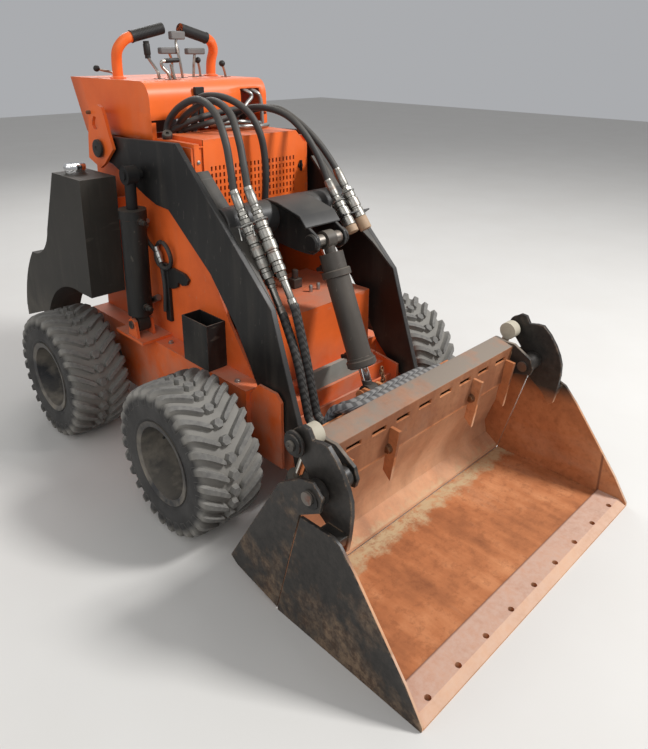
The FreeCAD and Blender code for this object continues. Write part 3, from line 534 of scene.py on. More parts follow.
@dataclass(frozen=True)
class BucketSteel:
    """The bucket's plate: rubbed rust inside, black paint with rusty scuffs on the outer faces and the ears.

    The finishes meet at distances from the middle, at places along Y and at heights, all in metres.
    """

    name: str
    paint: Colour = srgb(37, 35, 33)
    beam: Colour = srgb(132, 120, 108)
    rust_dark: Colour = srgb(122, 72, 44)
    rust_mid: Colour = srgb(178, 112, 70)
    rust_bright: Colour = srgb(214, 150, 104)
    outer_x: float = 0.5755
    ear_x: float = 0.519
    ear_z: float = 0.375
    lug_x: float = 0.43475
    edge_y: float = -1.081
    joint_y: float = -0.706

    def rust(self, b: NodeBench, cloud, fine, place, normal):
        """The inside: rubbed streaks, the paler cutting plate behind its weld, painted shade on the beam front and a
        pale rear wall.
        """
        rub = b.noise(14.0, 6.0, (1.0, 0.14, 0.14))
        ramp = b.add("ShaderNodeValToRGB", None, Fac=b.plus(b.times(cloud, 0.62), b.times(rub, 0.38)))
        stops = ramp.color_ramp.elements
        stops[0].position, stops[0].color = 0.32, self.rust_dark
        stops[1].position, stops[1].color = 0.68, self.rust_bright
        stops.new(0.5).color = self.rust_mid
        rust = b.mix(b.times(b.spread(fine, 0.5, 0.66), 0.4), ramp.outputs[0], self.rust_dark)
        worn = b.spread(b.noise(5.0, 7.0, (1.0, 0.3, 1.0)), 0.56, 0.7)
        rust = b.mix(b.times(worn, 0.35), rust, srgb(186, 150, 122))
        plate = b.times(b.step(place[1], self.edge_y, -0.002), b.spread(normal[2], 0.1, 0.6))
        rust = b.mix(b.times(plate, b.spread(fine, 0.25, 0.6, 0.55, 0.95)), rust, srgb(196, 164, 146))
        weld = b.spread(b.math("ABSOLUTE", b.plus(place[1], -self.edge_y)), 0.006, 0.002)
        rust = b.mix(b.times(weld, 0.7), rust, srgb(98, 62, 46))
        # Painted shade: the beam's forward-facing front above 0.38 m is darkened as if it lay in shade.
        front = b.times(b.step(place[2], 0.380, 0.005), b.spread(normal[1], -0.5, -0.9))
        rust = b.mix(b.times(front, 0.55), rust, srgb(78, 50, 38))
        wall = b.times(b.step(place[2], 0.34, -0.01), b.spread(normal[1], -0.2, -0.6))
        return b.mix(b.times(wall, b.spread(cloud, 0.25, 0.6, 0.25, 0.65)), rust, srgb(214, 174, 140))

    def painted(self, b: NodeBench, across, place, normal):
        """1 on the faces that keep their paint: outer sides, ears, hinge lugs and the bucket's rear."""
        outer = b.step(across, self.outer_x, 0.001)
        ear = b.times(b.step(across, self.ear_x, 0.001), b.step(place[2], self.ear_z, 0.003))
        lug = b.times(b.step(across, self.lug_x, 0.00075), b.spread(place[1], -0.66, -0.7))
        lug = b.times(lug, b.spread(place[2], 0.3, 0.36))
        rear = b.times(b.spread(place[1], -0.64, -0.6), b.spread(normal[1], 0.2, 0.6))
        return b.most(b.most(outer, ear), b.most(lug, rear))

    def make(self) -> bpy.types.Material:
        """Lays out the finish: paint with its scuffs over the rust, then a grey tone on the beam's top and sand in the
        joint.
        """
        b = NodeBench(self.name)
        place, normal = b.place_parts(), b.normal_parts()
        cloud, fine = b.noise(3.2, 8.0, rough=0.68), b.noise(46.0, 6.0, rough=0.7)
        across = b.math("ABSOLUTE", place[0])
        painted = self.painted(b, across, place, normal)
        scuff = b.spread(b.plus(cloud, b.times(b.spread(place[2], 0.34, 0.02), 0.16)), 0.55, 0.68)
        lost = b.most(b.times(scuff, 0.75), b.times(b.edges(0.005), b.spread(fine, 0.46, 0.56)))
        skin = b.mix(lost, b.mix(b.spread(fine, 0.35, 0.7), self.paint, srgb(58, 54, 50)),
                     b.mix(b.spread(fine, 0.4, 0.6), srgb(84, 64, 50), srgb(140, 116, 92)))
        colour = b.mix(painted, self.rust(b, cloud, fine, place, normal), skin)
        top = b.times(b.spread(normal[2], 0.5, 0.9), b.spread(place[2], 0.49, 0.505))
        top = b.times(top, b.spread(across, 0.47, 0.45))
        colour = b.mix(b.times(top, b.spread(cloud, 0.3, 0.55)), colour, self.beam)
        drift = b.plus(b.plus(place[1], -self.joint_y), b.spread(b.noise(26.0, 6.0), 0.3, 0.7, -0.03, 0.03))
        sand = b.times(b.spread(normal[2], 0.3, 0.8), b.spread(b.math("ABSOLUTE", drift), 0.05, 0.008))
        sand = b.times(sand, b.times(b.spread(place[2], 0.12, 0.06), b.spread(fine, 0.3, 0.5)))
        colour = b.mix(b.times(sand, 0.9), colour, srgb(190, 170, 134))
        b.bump(b.plus(b.times(fine, 0.7), cloud), 0.35, 0.0016)
        return b.finish(colour, b.blend(painted, 0.78, b.blend(lost, 0.42, 0.75)))


@dataclass(frozen=True)
class TyreRubber:
    """Dusty tyre rubber: pale dust between the lugs, greyer lug tops and dark side walls, by distance to the axle."""

    name: str
    axle_y: float
    axle_z: float = 0.254
    rubber: Colour = srgb(56, 55, 54)
    top: Colour = srgb(104, 102, 99)
    floor: Colour = srgb(130, 127, 121)

    def make(self) -> bpy.types.Material:
        """Lays out the finish; the distance is the root of the squares of Y and Z from the axle."""
        b = NodeBench(self.name)
        place = b.place_parts()
        y, z = b.math("SUBTRACT", place[1], self.axle_y), b.math("SUBTRACT", place[2], self.axle_z)
        out = b.math("SQRT", b.plus(b.times(y, y), b.times(z, z)))
        cloud, fine = b.noise(9.0, 7.0), b.noise(70.0, 5.0)
        tread = b.spread(out, 0.212, 0.231)
        lug = b.spread(out, 0.239, 0.249)
        dusty = b.mix(lug, self.floor, b.mix(b.spread(fine, 0.35, 0.65), self.top, srgb(122, 120, 115)))
        wall = b.mix(b.times(b.spread(cloud, 0.4, 0.7), 0.35), self.rubber, self.top)
        colour = b.mix(b.times(tread, b.spread(cloud, 0.2, 0.5, 0.72, 1.0)), wall, dusty)
        # Painted highlight: the tyre's bevelled edges are lightened.
        colour = b.mix(b.times(b.edges(0.003), 0.3), colour, srgb(152, 148, 141))
        b.bump(b.plus(fine, b.times(cloud, 0.5)), 0.3, 0.0008)
        return b.finish(colour, 0.86)


@dataclass(frozen=True)
class Metal:
    """Bare or plated metal, with smears, dust and spots of rust."""

    name: str
    colour: Colour
    rough: float = 0.25
    rust: float = 0.1
    dust: float = 0.15
    # A band between two heights in its own dark colour: a rod's eye on most rods, painted shade over the lift rods.
    eye: Colour = srgb(38, 37, 36)
    eye_low: float = 9.0
    eye_high: float = 9.5

    def make(self) -> bpy.types.Material:
        """Lays out the finish; between two heights a band has its own dark colour: a rod's eye, and on the lift rods
        painted shade.
        """
        b = NodeBench(self.name)
        cloud, fine = b.noise(24.0, 6.0), b.noise(130.0, 3.0)
        height = b.place_parts()[2]
        eye_and_shade_band = b.math("MINIMUM", b.spread(height, self.eye_low - 0.002, self.eye_low),
                      b.spread(height, self.eye_high + 0.002, self.eye_high))
        up = b.times(b.spread(b.normal_parts()[2], 0.2, 0.9), self.dust)
        spots = b.times(b.spread(cloud, 0.62 - 0.2 * self.rust, 0.72), min(1.0, self.rust * 3))
        colour = b.mix(up, b.mix(spots, b.mix(eye_and_shade_band, self.colour, self.eye), RUST_MID), DUST)
        b.bump(b.plus(fine, cloud), 0.08, 0.0004)
        cover = b.most(b.most(up, spots), eye_and_shade_band)
        rough = b.blend(cover, b.spread(cloud, 0.3, 0.8, self.rough * 0.8, self.rough * 1.4), 0.7)
        return b.finish(colour, rough, b.blend(cover, 1.0, 0.0))


@dataclass(frozen=True)
class Rubber:
    """Rubber or vinyl with a fine grain and a film of dust; ridges cross it by its own UV where a pitch is given,
    their grooves darkened as painted shade.
    """

    name: str
    colour: Colour
    rough: float = 0.6
    dust: float = 0.25
    pitch: float = 0.0
    slant: float = 0.0
    ridge: float = 0.6

    def make(self) -> bpy.types.Material:
        """Lays out the finish; the ridges are a sine of U over the pitch plus the slant times V."""
        b = NodeBench(self.name)
        cloud, grain = b.noise(18.0, 6.0), b.noise(300.0, 3.0)
        up = b.times(b.spread(b.normal_parts()[2], -0.2, 0.9), self.dust)
        colour = b.mix(b.times(up, b.spread(cloud, 0.3, 0.7, 0.5, 1.0)), self.colour, DUST)
        height = b.times(grain, 0.5)
        if self.pitch:
            uv = b.add("ShaderNodeSeparateXYZ", None, Vector=b.coords.outputs["UV"]).outputs
            turn = b.plus(b.times(uv[0], 2 * math.pi / self.pitch), b.times(uv[1], 2 * math.pi * self.slant))
            wave = b.spread(b.math("SINE", turn), -0.6, 0.4)
            # Painted shade: the grooves between the ridges are darkened towards near-black.
            colour = b.mix(b.times(b.spread(wave, 1.0, 0.0), self.ridge), colour, srgb(22, 21, 20))
            height = b.plus(height, b.times(wave, 3.0))
        b.bump(height, 0.5, 0.0008)
        return b.finish(colour, b.blend(up, self.rough, 0.9))


@dataclass(frozen=True)
class Ground:
    """The plain pale floor."""

    name: str = "pale_floor"

    def make(self) -> bpy.types.Material:
        """Lays out the finish."""
        b = NodeBench(self.name)
        return b.finish(b.mix(b.noise(2.0, 3.0), srgb(205, 202, 197), srgb(212, 210, 206)), 0.9)


class Finishes:
    """Every finish of the machine, made once and found by name."""

    def __init__(self) -> None:
        """Makes the materials."""
        orange, orange_shade = srgb(240, 110, 44), srgb(226, 98, 38)
        kinds = [
            Paint("orange_enamel", orange, orange_shade, rough=0.4, dust=0.3, chips=0.55, low_dirt=0.25),
            Paint("orange_worn", srgb(234, 106, 44), srgb(206, 88, 36), rough=0.5, dust=0.5, chips=0.9, low_dirt=0.55),
            # The arms' narrow faces are lighter grey: wear together with a painted sheen.
            Paint("black_enamel", srgb(19, 18, 18), srgb(26, 25, 24), rough=0.42, dust=0.16, chips=0.4, low_dirt=0.2,
                  edge_colour=srgb(84, 84, 84), edge_share=0.35),
            Paint("flange_grey", srgb(46, 46, 46), srgb(38, 38, 38), rough=0.45, chips=0.4, low_dirt=0.2),
            Paint("black_parts", srgb(22, 22, 22), srgb(32, 31, 29), rough=0.5, dust=0.2, chips=0.4, low_dirt=0.3),
            Paint("tank_skin", srgb(52, 49, 44), srgb(43, 41, 37), rough=0.62, dust=0.18, chips=0.2, low_dirt=0.3),
            Paint("rim_enamel", srgb(42, 44, 48), srgb(54, 54, 54), rough=0.5, dust=0.4, chips=0.4, low_dirt=0.6),
            Paint("barrel_enamel", srgb(76, 70, 64), srgb(62, 57, 52), rough=0.5, dust=0.3, chips=0.6, low_dirt=0.2),
            Paint("bar_grey", srgb(146, 146, 140), srgb(120, 118, 110), rough=0.6, dust=0.6, chips=0.6),
            Paint("tan_cap", srgb(176, 148, 120), srgb(150, 124, 100), rough=0.6, dust=0.3, chips=0.0, low_dirt=0.0),
            Paint("grey_grip", srgb(112, 110, 108), srgb(90, 89, 88), rough=0.55, dust=0.2, chips=0.1, low_dirt=0.0),
            BucketSteel("bucket_plate"),
            Metal("zinc", srgb(176, 176, 172), 0.34, rust=0.08, dust=0.25),
            Metal("chrome", srgb(226, 226, 226), 0.09, rust=0.02, dust=0.06),
            # The lift rods are painted near-black from 0.88 to 1.2 m: painted shade over the rod where it sits in
            # shade.
            Metal("lift_rod_chrome", srgb(206, 206, 206), 0.12, rust=0.02, dust=0.06, eye=srgb(26, 25, 25),
                  eye_low=0.880, eye_high=1.2),
            Metal("tilt_rod_chrome", srgb(226, 226, 226), 0.09, rust=0.02, dust=0.06, eye=srgb(52, 47, 43),
                  eye_low=0.2, eye_high=0.438),
            Metal("jaw_rod_chrome", srgb(216, 212, 204), 0.14, rust=0.05, dust=0.1, eye=srgb(178, 170, 152),
                  eye_low=0.500, eye_high=0.7),
            Metal("pin_steel", srgb(128, 122, 116), 0.4, rust=0.35, dust=0.3),
            Metal("lever_steel", srgb(176, 168, 158), 0.28, rust=0.35, dust=0.15),
            Metal("coupler_steel", srgb(150, 148, 142), 0.36, rust=0.3, dust=0.35),
            Metal("rusty_steel", srgb(132, 96, 68), 0.6, rust=0.9, dust=0.2),
            Metal("cast_grey", srgb(96, 92, 88), 0.6, rust=0.3, dust=0.4),
            Rubber("hose_rubber", srgb(44, 44, 45), 0.5, dust=0.22),
            Rubber("hose_guard", srgb(54, 54, 55), 0.5, dust=0.25, pitch=0.022, slant=1.0),
            Rubber("hose_guard_grey", srgb(112, 114, 118), 0.55, dust=0.35, pitch=0.026, slant=1.0),
            Rubber("grip_rubber", srgb(26, 26, 27), 0.55, dust=0.1, pitch=0.006, slant=0.0, ridge=0.3),
            Rubber("pad_vinyl", srgb(34, 34, 35), 0.48, dust=0.15),
            Rubber("soft_black", srgb(28, 28, 28), 0.5, dust=0.1),
            TyreRubber("tyre_front", -0.1786),
            TyreRubber("tyre_rear", 0.6386),
            Ground(),
        ]
        self.made = {kind.name: kind.make() for kind in kinds}

    def __getitem__(self, name: str) -> bpy.types.Material:
        """The material of that name."""
        return self.made[name]


class Workshop:
    """Turns shells into finished pieces that ride on the frame."""

    def __init__(self, frame: dict, finishes: Finishes) -> None:
        """Keeps the frame and the finishes."""
        self.frame = frame
        self.finishes = finishes

    def piece(self, name: str, shells: list[Shell], finish: str, body: str | None,
              bevel: float = 0.0, angle: float = 38.0) -> bpy.types.Object:
        """Makes one piece: doubles merged, faces turned outwards, smooth below the angle, dressed and set riding.

        Args:
            name: the piece's name.
            shells: its closed shells.
            finish: the finish's name.
            body: the body that it rides on, or None to leave that to the caller.
            bevel: width of the rounding of its edges, or 0.
            angle: the sharpest turn that is still shaded smooth, in degrees.

        Returns:
            The new object, at the origin with its place in its mesh.
        """
        whole = merge(shells)
        mesh = bpy.data.meshes.new(name)
        mesh.from_pydata(whole.points.tolist(), [], [row for part in whole.faces for row in part.tolist()])
        layer = mesh.uv_layers.new(name="UVMap")
        corners = np.empty(len(mesh.loops), np.int64)
        mesh.loops.foreach_get("vertex_index", corners)
        layer.data.foreach_set("uv", whole.uv[corners].astype(np.float32).ravel())
        work = bmesh.new()
        work.from_mesh(mesh)
        bmesh.ops.remove_doubles(work, verts=work.verts, dist=2e-6)
        bmesh.ops.recalc_face_normals(work, faces=work.faces)
        work.to_mesh(mesh)
        work.free()
        mesh.shade_smooth()
        mesh.set_sharp_from_angle(angle=math.radians(angle))
        made = bpy.data.objects.new(name, mesh)
        bpy.context.scene.collection.objects.link(made)
        mesh.materials.append(self.finishes[finish])
        if bevel:
            rounding = made.modifiers.new("rounding", "BEVEL")
            rounding.width, rounding.segments, rounding.limit_method = bevel, 2, "ANGLE"
            rounding.angle_limit = math.radians(35)
            rounding.harden_normals = False
        if body:
            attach(made, body)
        log.info("piece %s: %d faces", name, len(mesh.polygons))
        return made

    def dress(self, finish: str, *nodes: str) -> None:
        """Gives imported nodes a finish; their meshes stay as they are."""
        for name in nodes:
            slots = self.frame["nodes"][name].data.materials
            slots.clear()
            slots.append(self.finishes[finish])


# ---- the stage -------------------------------------------------------------------------------------------------


@dataclass
class Stage:
    """Floor, lamps, world and the camera of the photograph's view."""

    eye: tuple[float, float, float] = (-1.5005, -1.7884, 1.4793)
    yaw: float = 0.78183
    pitch: float = 0.35295
    roll: float = -0.00456
    lens: float = 31.83
    shift_y: float = -0.10996
    reach: float = 14.0
    sky_strength: float = 0.5

    LAMPS = [  # name, place, width of the lamp in metres, watts
        ("key", (2.5, -3.3, 4.6), 1.1, 310.0),
        ("fill", (-3.4, -3.0, 3.4), 3.0, 55.0),
        ("rim", (1.6, 4.0, 4.2), 2.6, 110.0),
        ("side", (-4.4, 1.2, 2.4), 2.6, 22.0)]

    def build(self, finishes: Finishes) -> None:
        """Makes the camera, the floor and the lights."""
        self.camera()
        mesh = bpy.data.meshes.new("floor")
        r = self.reach
        mesh.from_pydata([(-r, -r, 0), (r, -r, 0), (r, r, 0), (-r, r, 0)], [], [(0, 1, 2, 3)])
        mesh.materials.append(finishes["pale_floor"])
        floor = bpy.data.objects.new("floor", mesh)
        bpy.context.scene.collection.objects.link(floor)
        floor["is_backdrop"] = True
        for row in self.LAMPS:
            self.lamp(*row)
        world = bpy.data.worlds.new("studio")
        bpy.context.scene.world = world
        world.use_nodes = True
        sky = world.node_tree.nodes["Background"]
        sky.inputs["Color"].default_value = srgb(232, 234, 238)
        sky.inputs["Strength"].default_value = self.sky_strength
        bpy.context.scene.view_settings.view_transform = "Standard"

    def camera(self) -> None:
        """Sets the camera: forward, right and down follow from yaw and pitch, then turn by the roll."""
        sy, cy, sp, cp = (math.sin(self.yaw), math.cos(self.yaw), math.sin(self.pitch), math.cos(self.pitch))
        forward, right = np.array([sy * cp, cy * cp, -sp]), np.array([cy, -sy, 0.0])
        down = np.cross(forward, right)
        c, s = math.cos(self.roll), math.sin(self.roll)
        right, down = c * right + s * down, c * down - s * right
        data = bpy.data.cameras.new("photo_view")
        data.sensor_width, data.lens, data.shift_y = 36.0, self.lens, self.shift_y
        data.clip_end = 100.0
        made = bpy.data.objects.new("photo_view", data)
        bpy.context.scene.collection.objects.link(made)
        turn = np.eye(4)
        turn[:3, 0], turn[:3, 1], turn[:3, 2], turn[:3, 3] = right, -down, -forward, self.eye
        made.matrix_world = Matrix(turn.tolist())
        bpy.context.scene.camera = made

    def lamp(self, name: str, spot: tuple[float, float, float], size: float, power: float) -> None:
        """A soft square lamp that faces the machine's middle."""
        data = bpy.data.lights.new(name, "AREA")
        data.energy, data.size = power, size
        made = bpy.data.objects.new(name, data)
        bpy.context.scene.collection.objects.link(made)
        u, v, w = axes_of(np.array(spot) - np.array([0.0, -0.1, 0.6]))
        turn = np.eye(4)
        turn[:3, 0], turn[:3, 1], turn[:3, 2], turn[:3, 3] = u, v, w, spot
        made.matrix_world = Matrix(turn.tolist())


# ---- wheels ----------------------------------------------------------------------------------------------------


@dataclass
class Wheels:
    """The four wheels: lugged tyres, and hub caps, nuts and valves in the rims."""

    mid_x: float = 0.515
    axle_z: float = 0.254
    front_y: float = -0.1786
    rear_y: float = 0.6386
    lugs: int = 28
    lug_half: float = 0.0105
    slant: float = 3.1
    steps: int = 112
    mean_radius: float = 0.245

    def section(self) -> Array:
        """The tyre's outer line from bead to bead, as pairs (across, radius), through chosen points."""
        half = [(0.086, 0.1273), (0.098, 0.133), (0.1045, 0.146), (0.1072, 0.152), (0.1064, 0.158), (0.1095, 0.172),
                (0.1105, 0.190), (0.1075, 0.211), (0.0985, 0.2265), (0.083, 0.2325), (0.055, 0.2348), (0.02, 0.2358)]
        line = [(-a, r) for a, r in half] + [(a, r) for a, r in reversed(half)]
        return smooth_path(line, 3)

    def at(self, across: Array, radius: Array, angle: Array, end_y: float, side: Side) -> Array:
        """Places on the wheel: X from the track, Y and Z round the axle; the angle runs from the top to the front."""
        x = side.value * (self.mid_x + across)
        return np.stack([x + 0 * angle, end_y - radius * np.sin(angle), self.axle_z + radius * np.cos(angle)], -1)

    def carcass(self, end_y: float, side: Side) -> Shell:
        """The tyre body: its section turned about the axle, each point at (across, radius) for every angle."""
        line = self.section()
        angle = np.linspace(0, 2 * math.pi, self.steps, endpoint=False)[None, :]
        points = self.at(line[:, :1], line[:, 1:], angle, end_y, side)
        return Shell(points.reshape(-1, 3), [grid_faces(len(line), self.steps, True, True)])

    def lug_bars(self, end_y: float, side: Side) -> Shell:
        """All lugs at once: a trapezoid carried along the tread's section, slanted by an angle for each metre across.

        Along the bar the section's place runs from near the middle over the shoulder and down the side wall, and
        the height shrinks to nought there.
        """
        across = np.array([0.024, 0.031, 0.050, 0.070, 0.088, 0.0985, 0.1055, 0.109, 0.1103])
        radius = np.array([0.2356, 0.2354, 0.2350, 0.2338, 0.2305, 0.2262, 0.2165, 0.2065, 0.196])
        height = np.array([0.0176, 0.0186, 0.019, 0.0196, 0.0205, 0.0185, 0.0105, 0.0065, 0.002])
        tilt = np.radians([0, 0, 2, 6, 18, 36, 62, 76, 86])
        width = np.array([0.55, 1.0, 1.0, 1.0, 1.06, 1.12, 1.16, 1.16, 1.0])
        profile = np.array([(-1.45, -0.25), (-1.0, 0.78), (-0.8, 1.0), (0.8, 1.0), (1.0, 0.78), (1.45, -0.25)])
        rise = height[:, None] * profile[None, :, 1]
        a = across[:, None] + rise * np.sin(tilt)[:, None]
        r = radius[:, None] + rise * np.cos(tilt)[:, None]
        lean = -self.slant * (np.minimum(across, 0.1) - 0.062)
        along = (width * self.lug_half)[:, None] * profile[None, :, 0] / self.mean_radius + lean[:, None]
        pitch = 2 * math.pi / self.lugs
        base = np.arange(self.lugs) * pitch
        shells = []
        for hand, shift in ((1, 0.0), (-1, -0.13 * pitch)):
            angle = base[:, None, None] + shift + along[None]
            points = self.at(hand * a[None] + 0 * angle, r[None] + 0 * angle, angle, end_y, side)
            rows, cols = a.shape
            start = (np.arange(self.lugs) * rows * cols)[:, None, None]
            faces = (grid_faces(rows, cols, close_columns=True)[None] + start).reshape(-1, 4)
            caps = np.stack([np.arange(cols), np.arange(cols) + (rows - 1) * cols])
            shells.append(Shell(points.reshape(-1, 3), [faces, (caps[None] + start).reshape(-1, cols)]))
        return merge(shells)

    def middle_blocks(self, end_y: float, side: Side) -> Shell:
        """The row of hexagon blocks round the middle: a narrower top ring over a wider foot ring, for every block."""
        ring = np.array([(1.0, 0.0), (0.5, 0.9), (-0.5, 0.9), (-1.0, 0.0), (-0.5, -0.9), (0.5, -0.9)])
        levels = ((0.0195, 0.2335), (0.0165, 0.2505), (0.0145, 0.2535))
        a = np.stack([size * ring[:, 0] for size, _ in levels])
        along = np.stack([size * ring[:, 1] for size, _ in levels]) / self.mean_radius
        r = np.array([level for _, level in levels])[:, None]
        pitch = 2 * math.pi / self.lugs
        angle = (np.arange(self.lugs) + 0.45)[:, None, None] * pitch + along[None]
        points = self.at(a[None] + 0 * angle, r[None] + 0 * angle, angle, end_y, side)
        start = (np.arange(self.lugs) * 18)[:, None, None]
        faces = (grid_faces(3, 6, close_columns=True)[None] + start).reshape(-1, 4)
        caps = np.stack([np.arange(6), np.arange(6) + 12])
        return Shell(points.reshape(-1, 3), [faces, (caps[None] + start).reshape(-1, 6)])

    def hub(self, end_y: float, side: Side) -> list[Shell]:
        """Hub cap and six nuts on a circle round it."""
        x = side.value * 0.5035
        out = (side.value, 0.0, 0.0)
        cap = lathe([(-0.004, 0.034), (0.012, 0.034), (0.02, 0.028), (0.022, 0.0)], (x, end_y, self.axle_z), out, 32)
        t = np.arange(6) * math.pi / 3
        spots = np.stack([np.full(6, x), end_y + 0.052 * np.cos(t), self.axle_z + 0.052 * np.sin(t)], -1)
        return [cap, stamp(hex_bolt(0.017), spots.tolist(), out)]

    def build(self, shop: Workshop) -> None:
        """Builds every wheel's pieces and stands them in for the plain tyres."""
        for end, end_y in (("front", self.front_y), ("rear", self.rear_y)):
            for side in Side:
                mark = f"{end}_{side.word}"
                tread = shop.piece(f"tyre_tread_{mark}", [self.carcass(end_y, side), self.lug_bars(end_y, side),
                                   self.middle_blocks(end_y, side)], f"tyre_{end}", f"wheel_{mark}",
                                   angle=50)
                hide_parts(f"tyre_{mark}")
                shop.piece(f"hub_nuts_{mark}", self.hub(end_y, side), "rim_enamel", f"wheel_{mark}")
                valve = tube(smooth_path([(side.value * 0.518, end_y + 0.098, self.axle_z + 0.03),
                                          (side.value * 0.536, end_y + 0.09, self.axle_z + 0.028),
                                          (side.value * 0.556, end_y + 0.084, self.axle_z + 0.026)]), 0.0045, 10)
                shop.piece(f"valve_{mark}", [valve], "soft_black", f"wheel_{mark}")


# ---- the operator's place --------------------------------------------------------------------------------------


@dataclass
class Controls:
    """Handles with their grips, the levers, the thigh pad and the tanks' caps."""

    top_z: float = 1.369
    tube_radius: float = 0.0195
    grip_radius: float = 0.0212
    knob_radius: float = 0.0125
    cap_radius: float = 0.041
    cap_lobes: int = 12
    cap_foot: tuple[float, float, float] = (0.410, 0.640, 1.034)
    pad_half: float = 0.224

    def handle_line(self, side: Side) -> Array:
        """The middle line of one handle: up from the console, back over itself and in towards the middle."""
        s = side.value
        return bent_path([(s * 0.211, 0.613, self.top_z), (s * 0.213, 0.610, 1.430), (s * 0.218, 0.592, 1.472),
                          (s * 0.190, 0.576, 1.510), (s * 0.038, 0.560, 1.548)], 0.022, 8)

    def build(self, shop: Workshop) -> None:
        """Builds all controls."""
        lines = [self.handle_line(side) for side in Side]
        tubes = shop.piece("handle_tubes", [tube(line, self.tube_radius, 20) for line in lines], "orange_enamel",
                           "chassis")
        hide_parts("handles")
        flanges = [lathe([(0.0003, 0.03), (0.005, 0.03), (0.007, 0.022), (0.012, 0.0185)],
                         tuple(line[0]), (0, 0, 1), 28) for line in lines]
        shop.piece("handle_flanges", flanges, "orange_enamel", "chassis")
        grips = []
        for line in lines:
            path = np.stack([np.interp(np.linspace(0.02, 1.05, 26), [0, 1], [line[-2][k], line[-1][k]])
                             for k in range(3)], -1)
            swell = self.grip_radius * np.interp(np.linspace(0, 1, 26), [0, 0.02, 0.06, 0.95, 1.0],
                                                 [1.1, 1.1, 1.0, 1.0, 0.9])
            grips.append(sweep(path, circle(1.0, 20), swell))
        shop.piece("hand_grips", grips, "grip_rubber", "chassis")
        self.levers(shop)
        self.caps(shop)
        self.pad(shop)

    LEVERS = [  # the stem's points from the foot up, its radius, and the kind of head
        ([(-0.105, 0.498, 1.369), (-0.108, 0.503, 1.396), (-0.111, 0.548, 1.436), (-0.111, 0.560, 1.452)], 0.0055,
         "post"),
        ([(-0.010, 0.560, 1.369), (-0.014, 0.548, 1.430), (-0.030, 0.540, 1.464)], 0.0050, "grip"),
        ([(-0.109, 0.416, 1.369), (-0.116, 0.420, 1.392), (-0.130, 0.430, 1.412), (-0.132, 0.430, 1.430),
          (-0.112, 0.430, 1.434)], 0.0060, "bar"),
        ([(-0.085, 0.425, 1.369), (-0.090, 0.428, 1.396), (-0.094, 0.430, 1.422)], 0.0060, "none"),
        ([(0.012, 0.520, 1.369), (0.004, 0.520, 1.430), (-0.002, 0.530, 1.490), (0.016, 0.552, 1.512)], 0.0050,
         "switch"),
        ([(0.093, 0.565, 1.369), (0.096, 0.562, 1.420), (0.102, 0.560, 1.462)], 0.0055, "grip"),
        ([(0.152, 0.602, 1.369), (0.146, 0.598, 1.400), (0.134, 0.590, 1.432)], 0.0048, "ball"),
        ([(0.208, 0.505, 1.369), (0.200, 0.503, 1.394), (0.188, 0.500, 1.420)], 0.0048, "ball"),
        ([(-0.143, 0.752, 1.369), (-0.158, 0.756, 1.386), (-0.192, 0.760, 1.394), (-0.220, 0.760, 1.402)], 0.0050,
         "ball")]

    def levers(self, shop: Workshop) -> None:
        """The lever bank: bent bright stems, black plates at their feet as painted shade of the slots, ball knobs,
        square grips and the switch in the middle.
        """
        stems, balls, posts, grips, slots = [], [], [], [], []
        t = np.linspace(0, math.pi, 14)
        ball = list(zip(-self.knob_radius * np.cos(t), self.knob_radius * np.sin(t)))
        for points, radius, kind in self.LEVERS:
            stems.append(tube(smooth_path(points, 8), radius, 12))
            (fx, fy, fz), (tx, ty, tz) = points[0], points[-1]
            # Black plate at the lever's foot: painted shade standing in for the slot's dark opening.
            slots.append(block((fx - 0.016, fy - 0.012, fz), (fx + 0.016, fy + 0.014, fz + 0.0016)))
            if kind == "ball":
                balls.append(lathe(ball, (tx, ty, tz), (0, 0, 1), 24))
            elif kind == "post":
                posts.append(sleeves(np.array([(tx, ty - 0.003, tz - 0.012), (tx - 0.002, ty, tz + 0.050)]),
                                     [(0, 0.20, 0.0105), (0.20, 0.85, 0.0125), (0.85, 1.0, 0.011)]))
            elif kind == "bar":
                posts.append(sleeves(np.array([(-0.118, 0.430, 1.434), (-0.060, 0.430, 1.436)]), [(0, 1, 0.0085)]))
            elif kind == "grip":
                grips.append(block((tx - 0.042, ty - 0.013, tz - 0.008), (tx + 0.042, ty + 0.013, tz + 0.016)))
            elif kind == "switch":
                grips.append(block((tx - 0.030, ty - 0.012, tz - 0.004), (tx + 0.034, ty + 0.012, tz + 0.027)))
        first = shop.piece("lever_stems", stems, "lever_steel", "chassis")
        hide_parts("levers")
        shop.piece("lever_knobs", balls + posts, "soft_black", "chassis")
        shop.piece("lever_grips", grips, "grey_grip", "chassis", bevel=0.005)
        shop.piece("lever_slots", slots, "black_parts", "chassis")

    def caps(self, shop: Workshop) -> None:
        """The polished filler caps: a lobed ring on a neck; the radius swings with a wave for each lobe."""
        shells = []
        for side in Side:
            centre = (side.value * self.cap_foot[0], *self.cap_foot[1:])
            neck = lathe([(0.0, 0.036), (0.010, 0.036), (0.012, 0.032)], centre, (0, 0, 1), 36)
            t = np.linspace(0, 2 * math.pi, 72, endpoint=False)
            levels = np.array([(0.010, 0.86), (0.014, 0.98), (0.026, 1.0), (0.034, 0.95), (0.037, 0.8), (0.037, 0.0)])
            wave = self.cap_radius * (1 - 0.05 * (0.5 + 0.5 * np.cos(self.cap_lobes * t)))
            ring = levels[:, 1:, None] * wave[None, None, :]
            points = np.stack([centre[0] + ring[:, 0] * np.cos(t), centre[1] + ring[:, 0] * np.sin(t),
                               centre[2] + levels[:, :1] + 0 * t], -1)
            cap = Shell(points.reshape(-1, 3), [grid_faces(6, 72, close_columns=True), np.arange(72)[None]])
            shells += [neck, cap]
        made = shop.piece("filler_cap_lobes", shells, "chrome", "chassis")
        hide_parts("filler_caps")

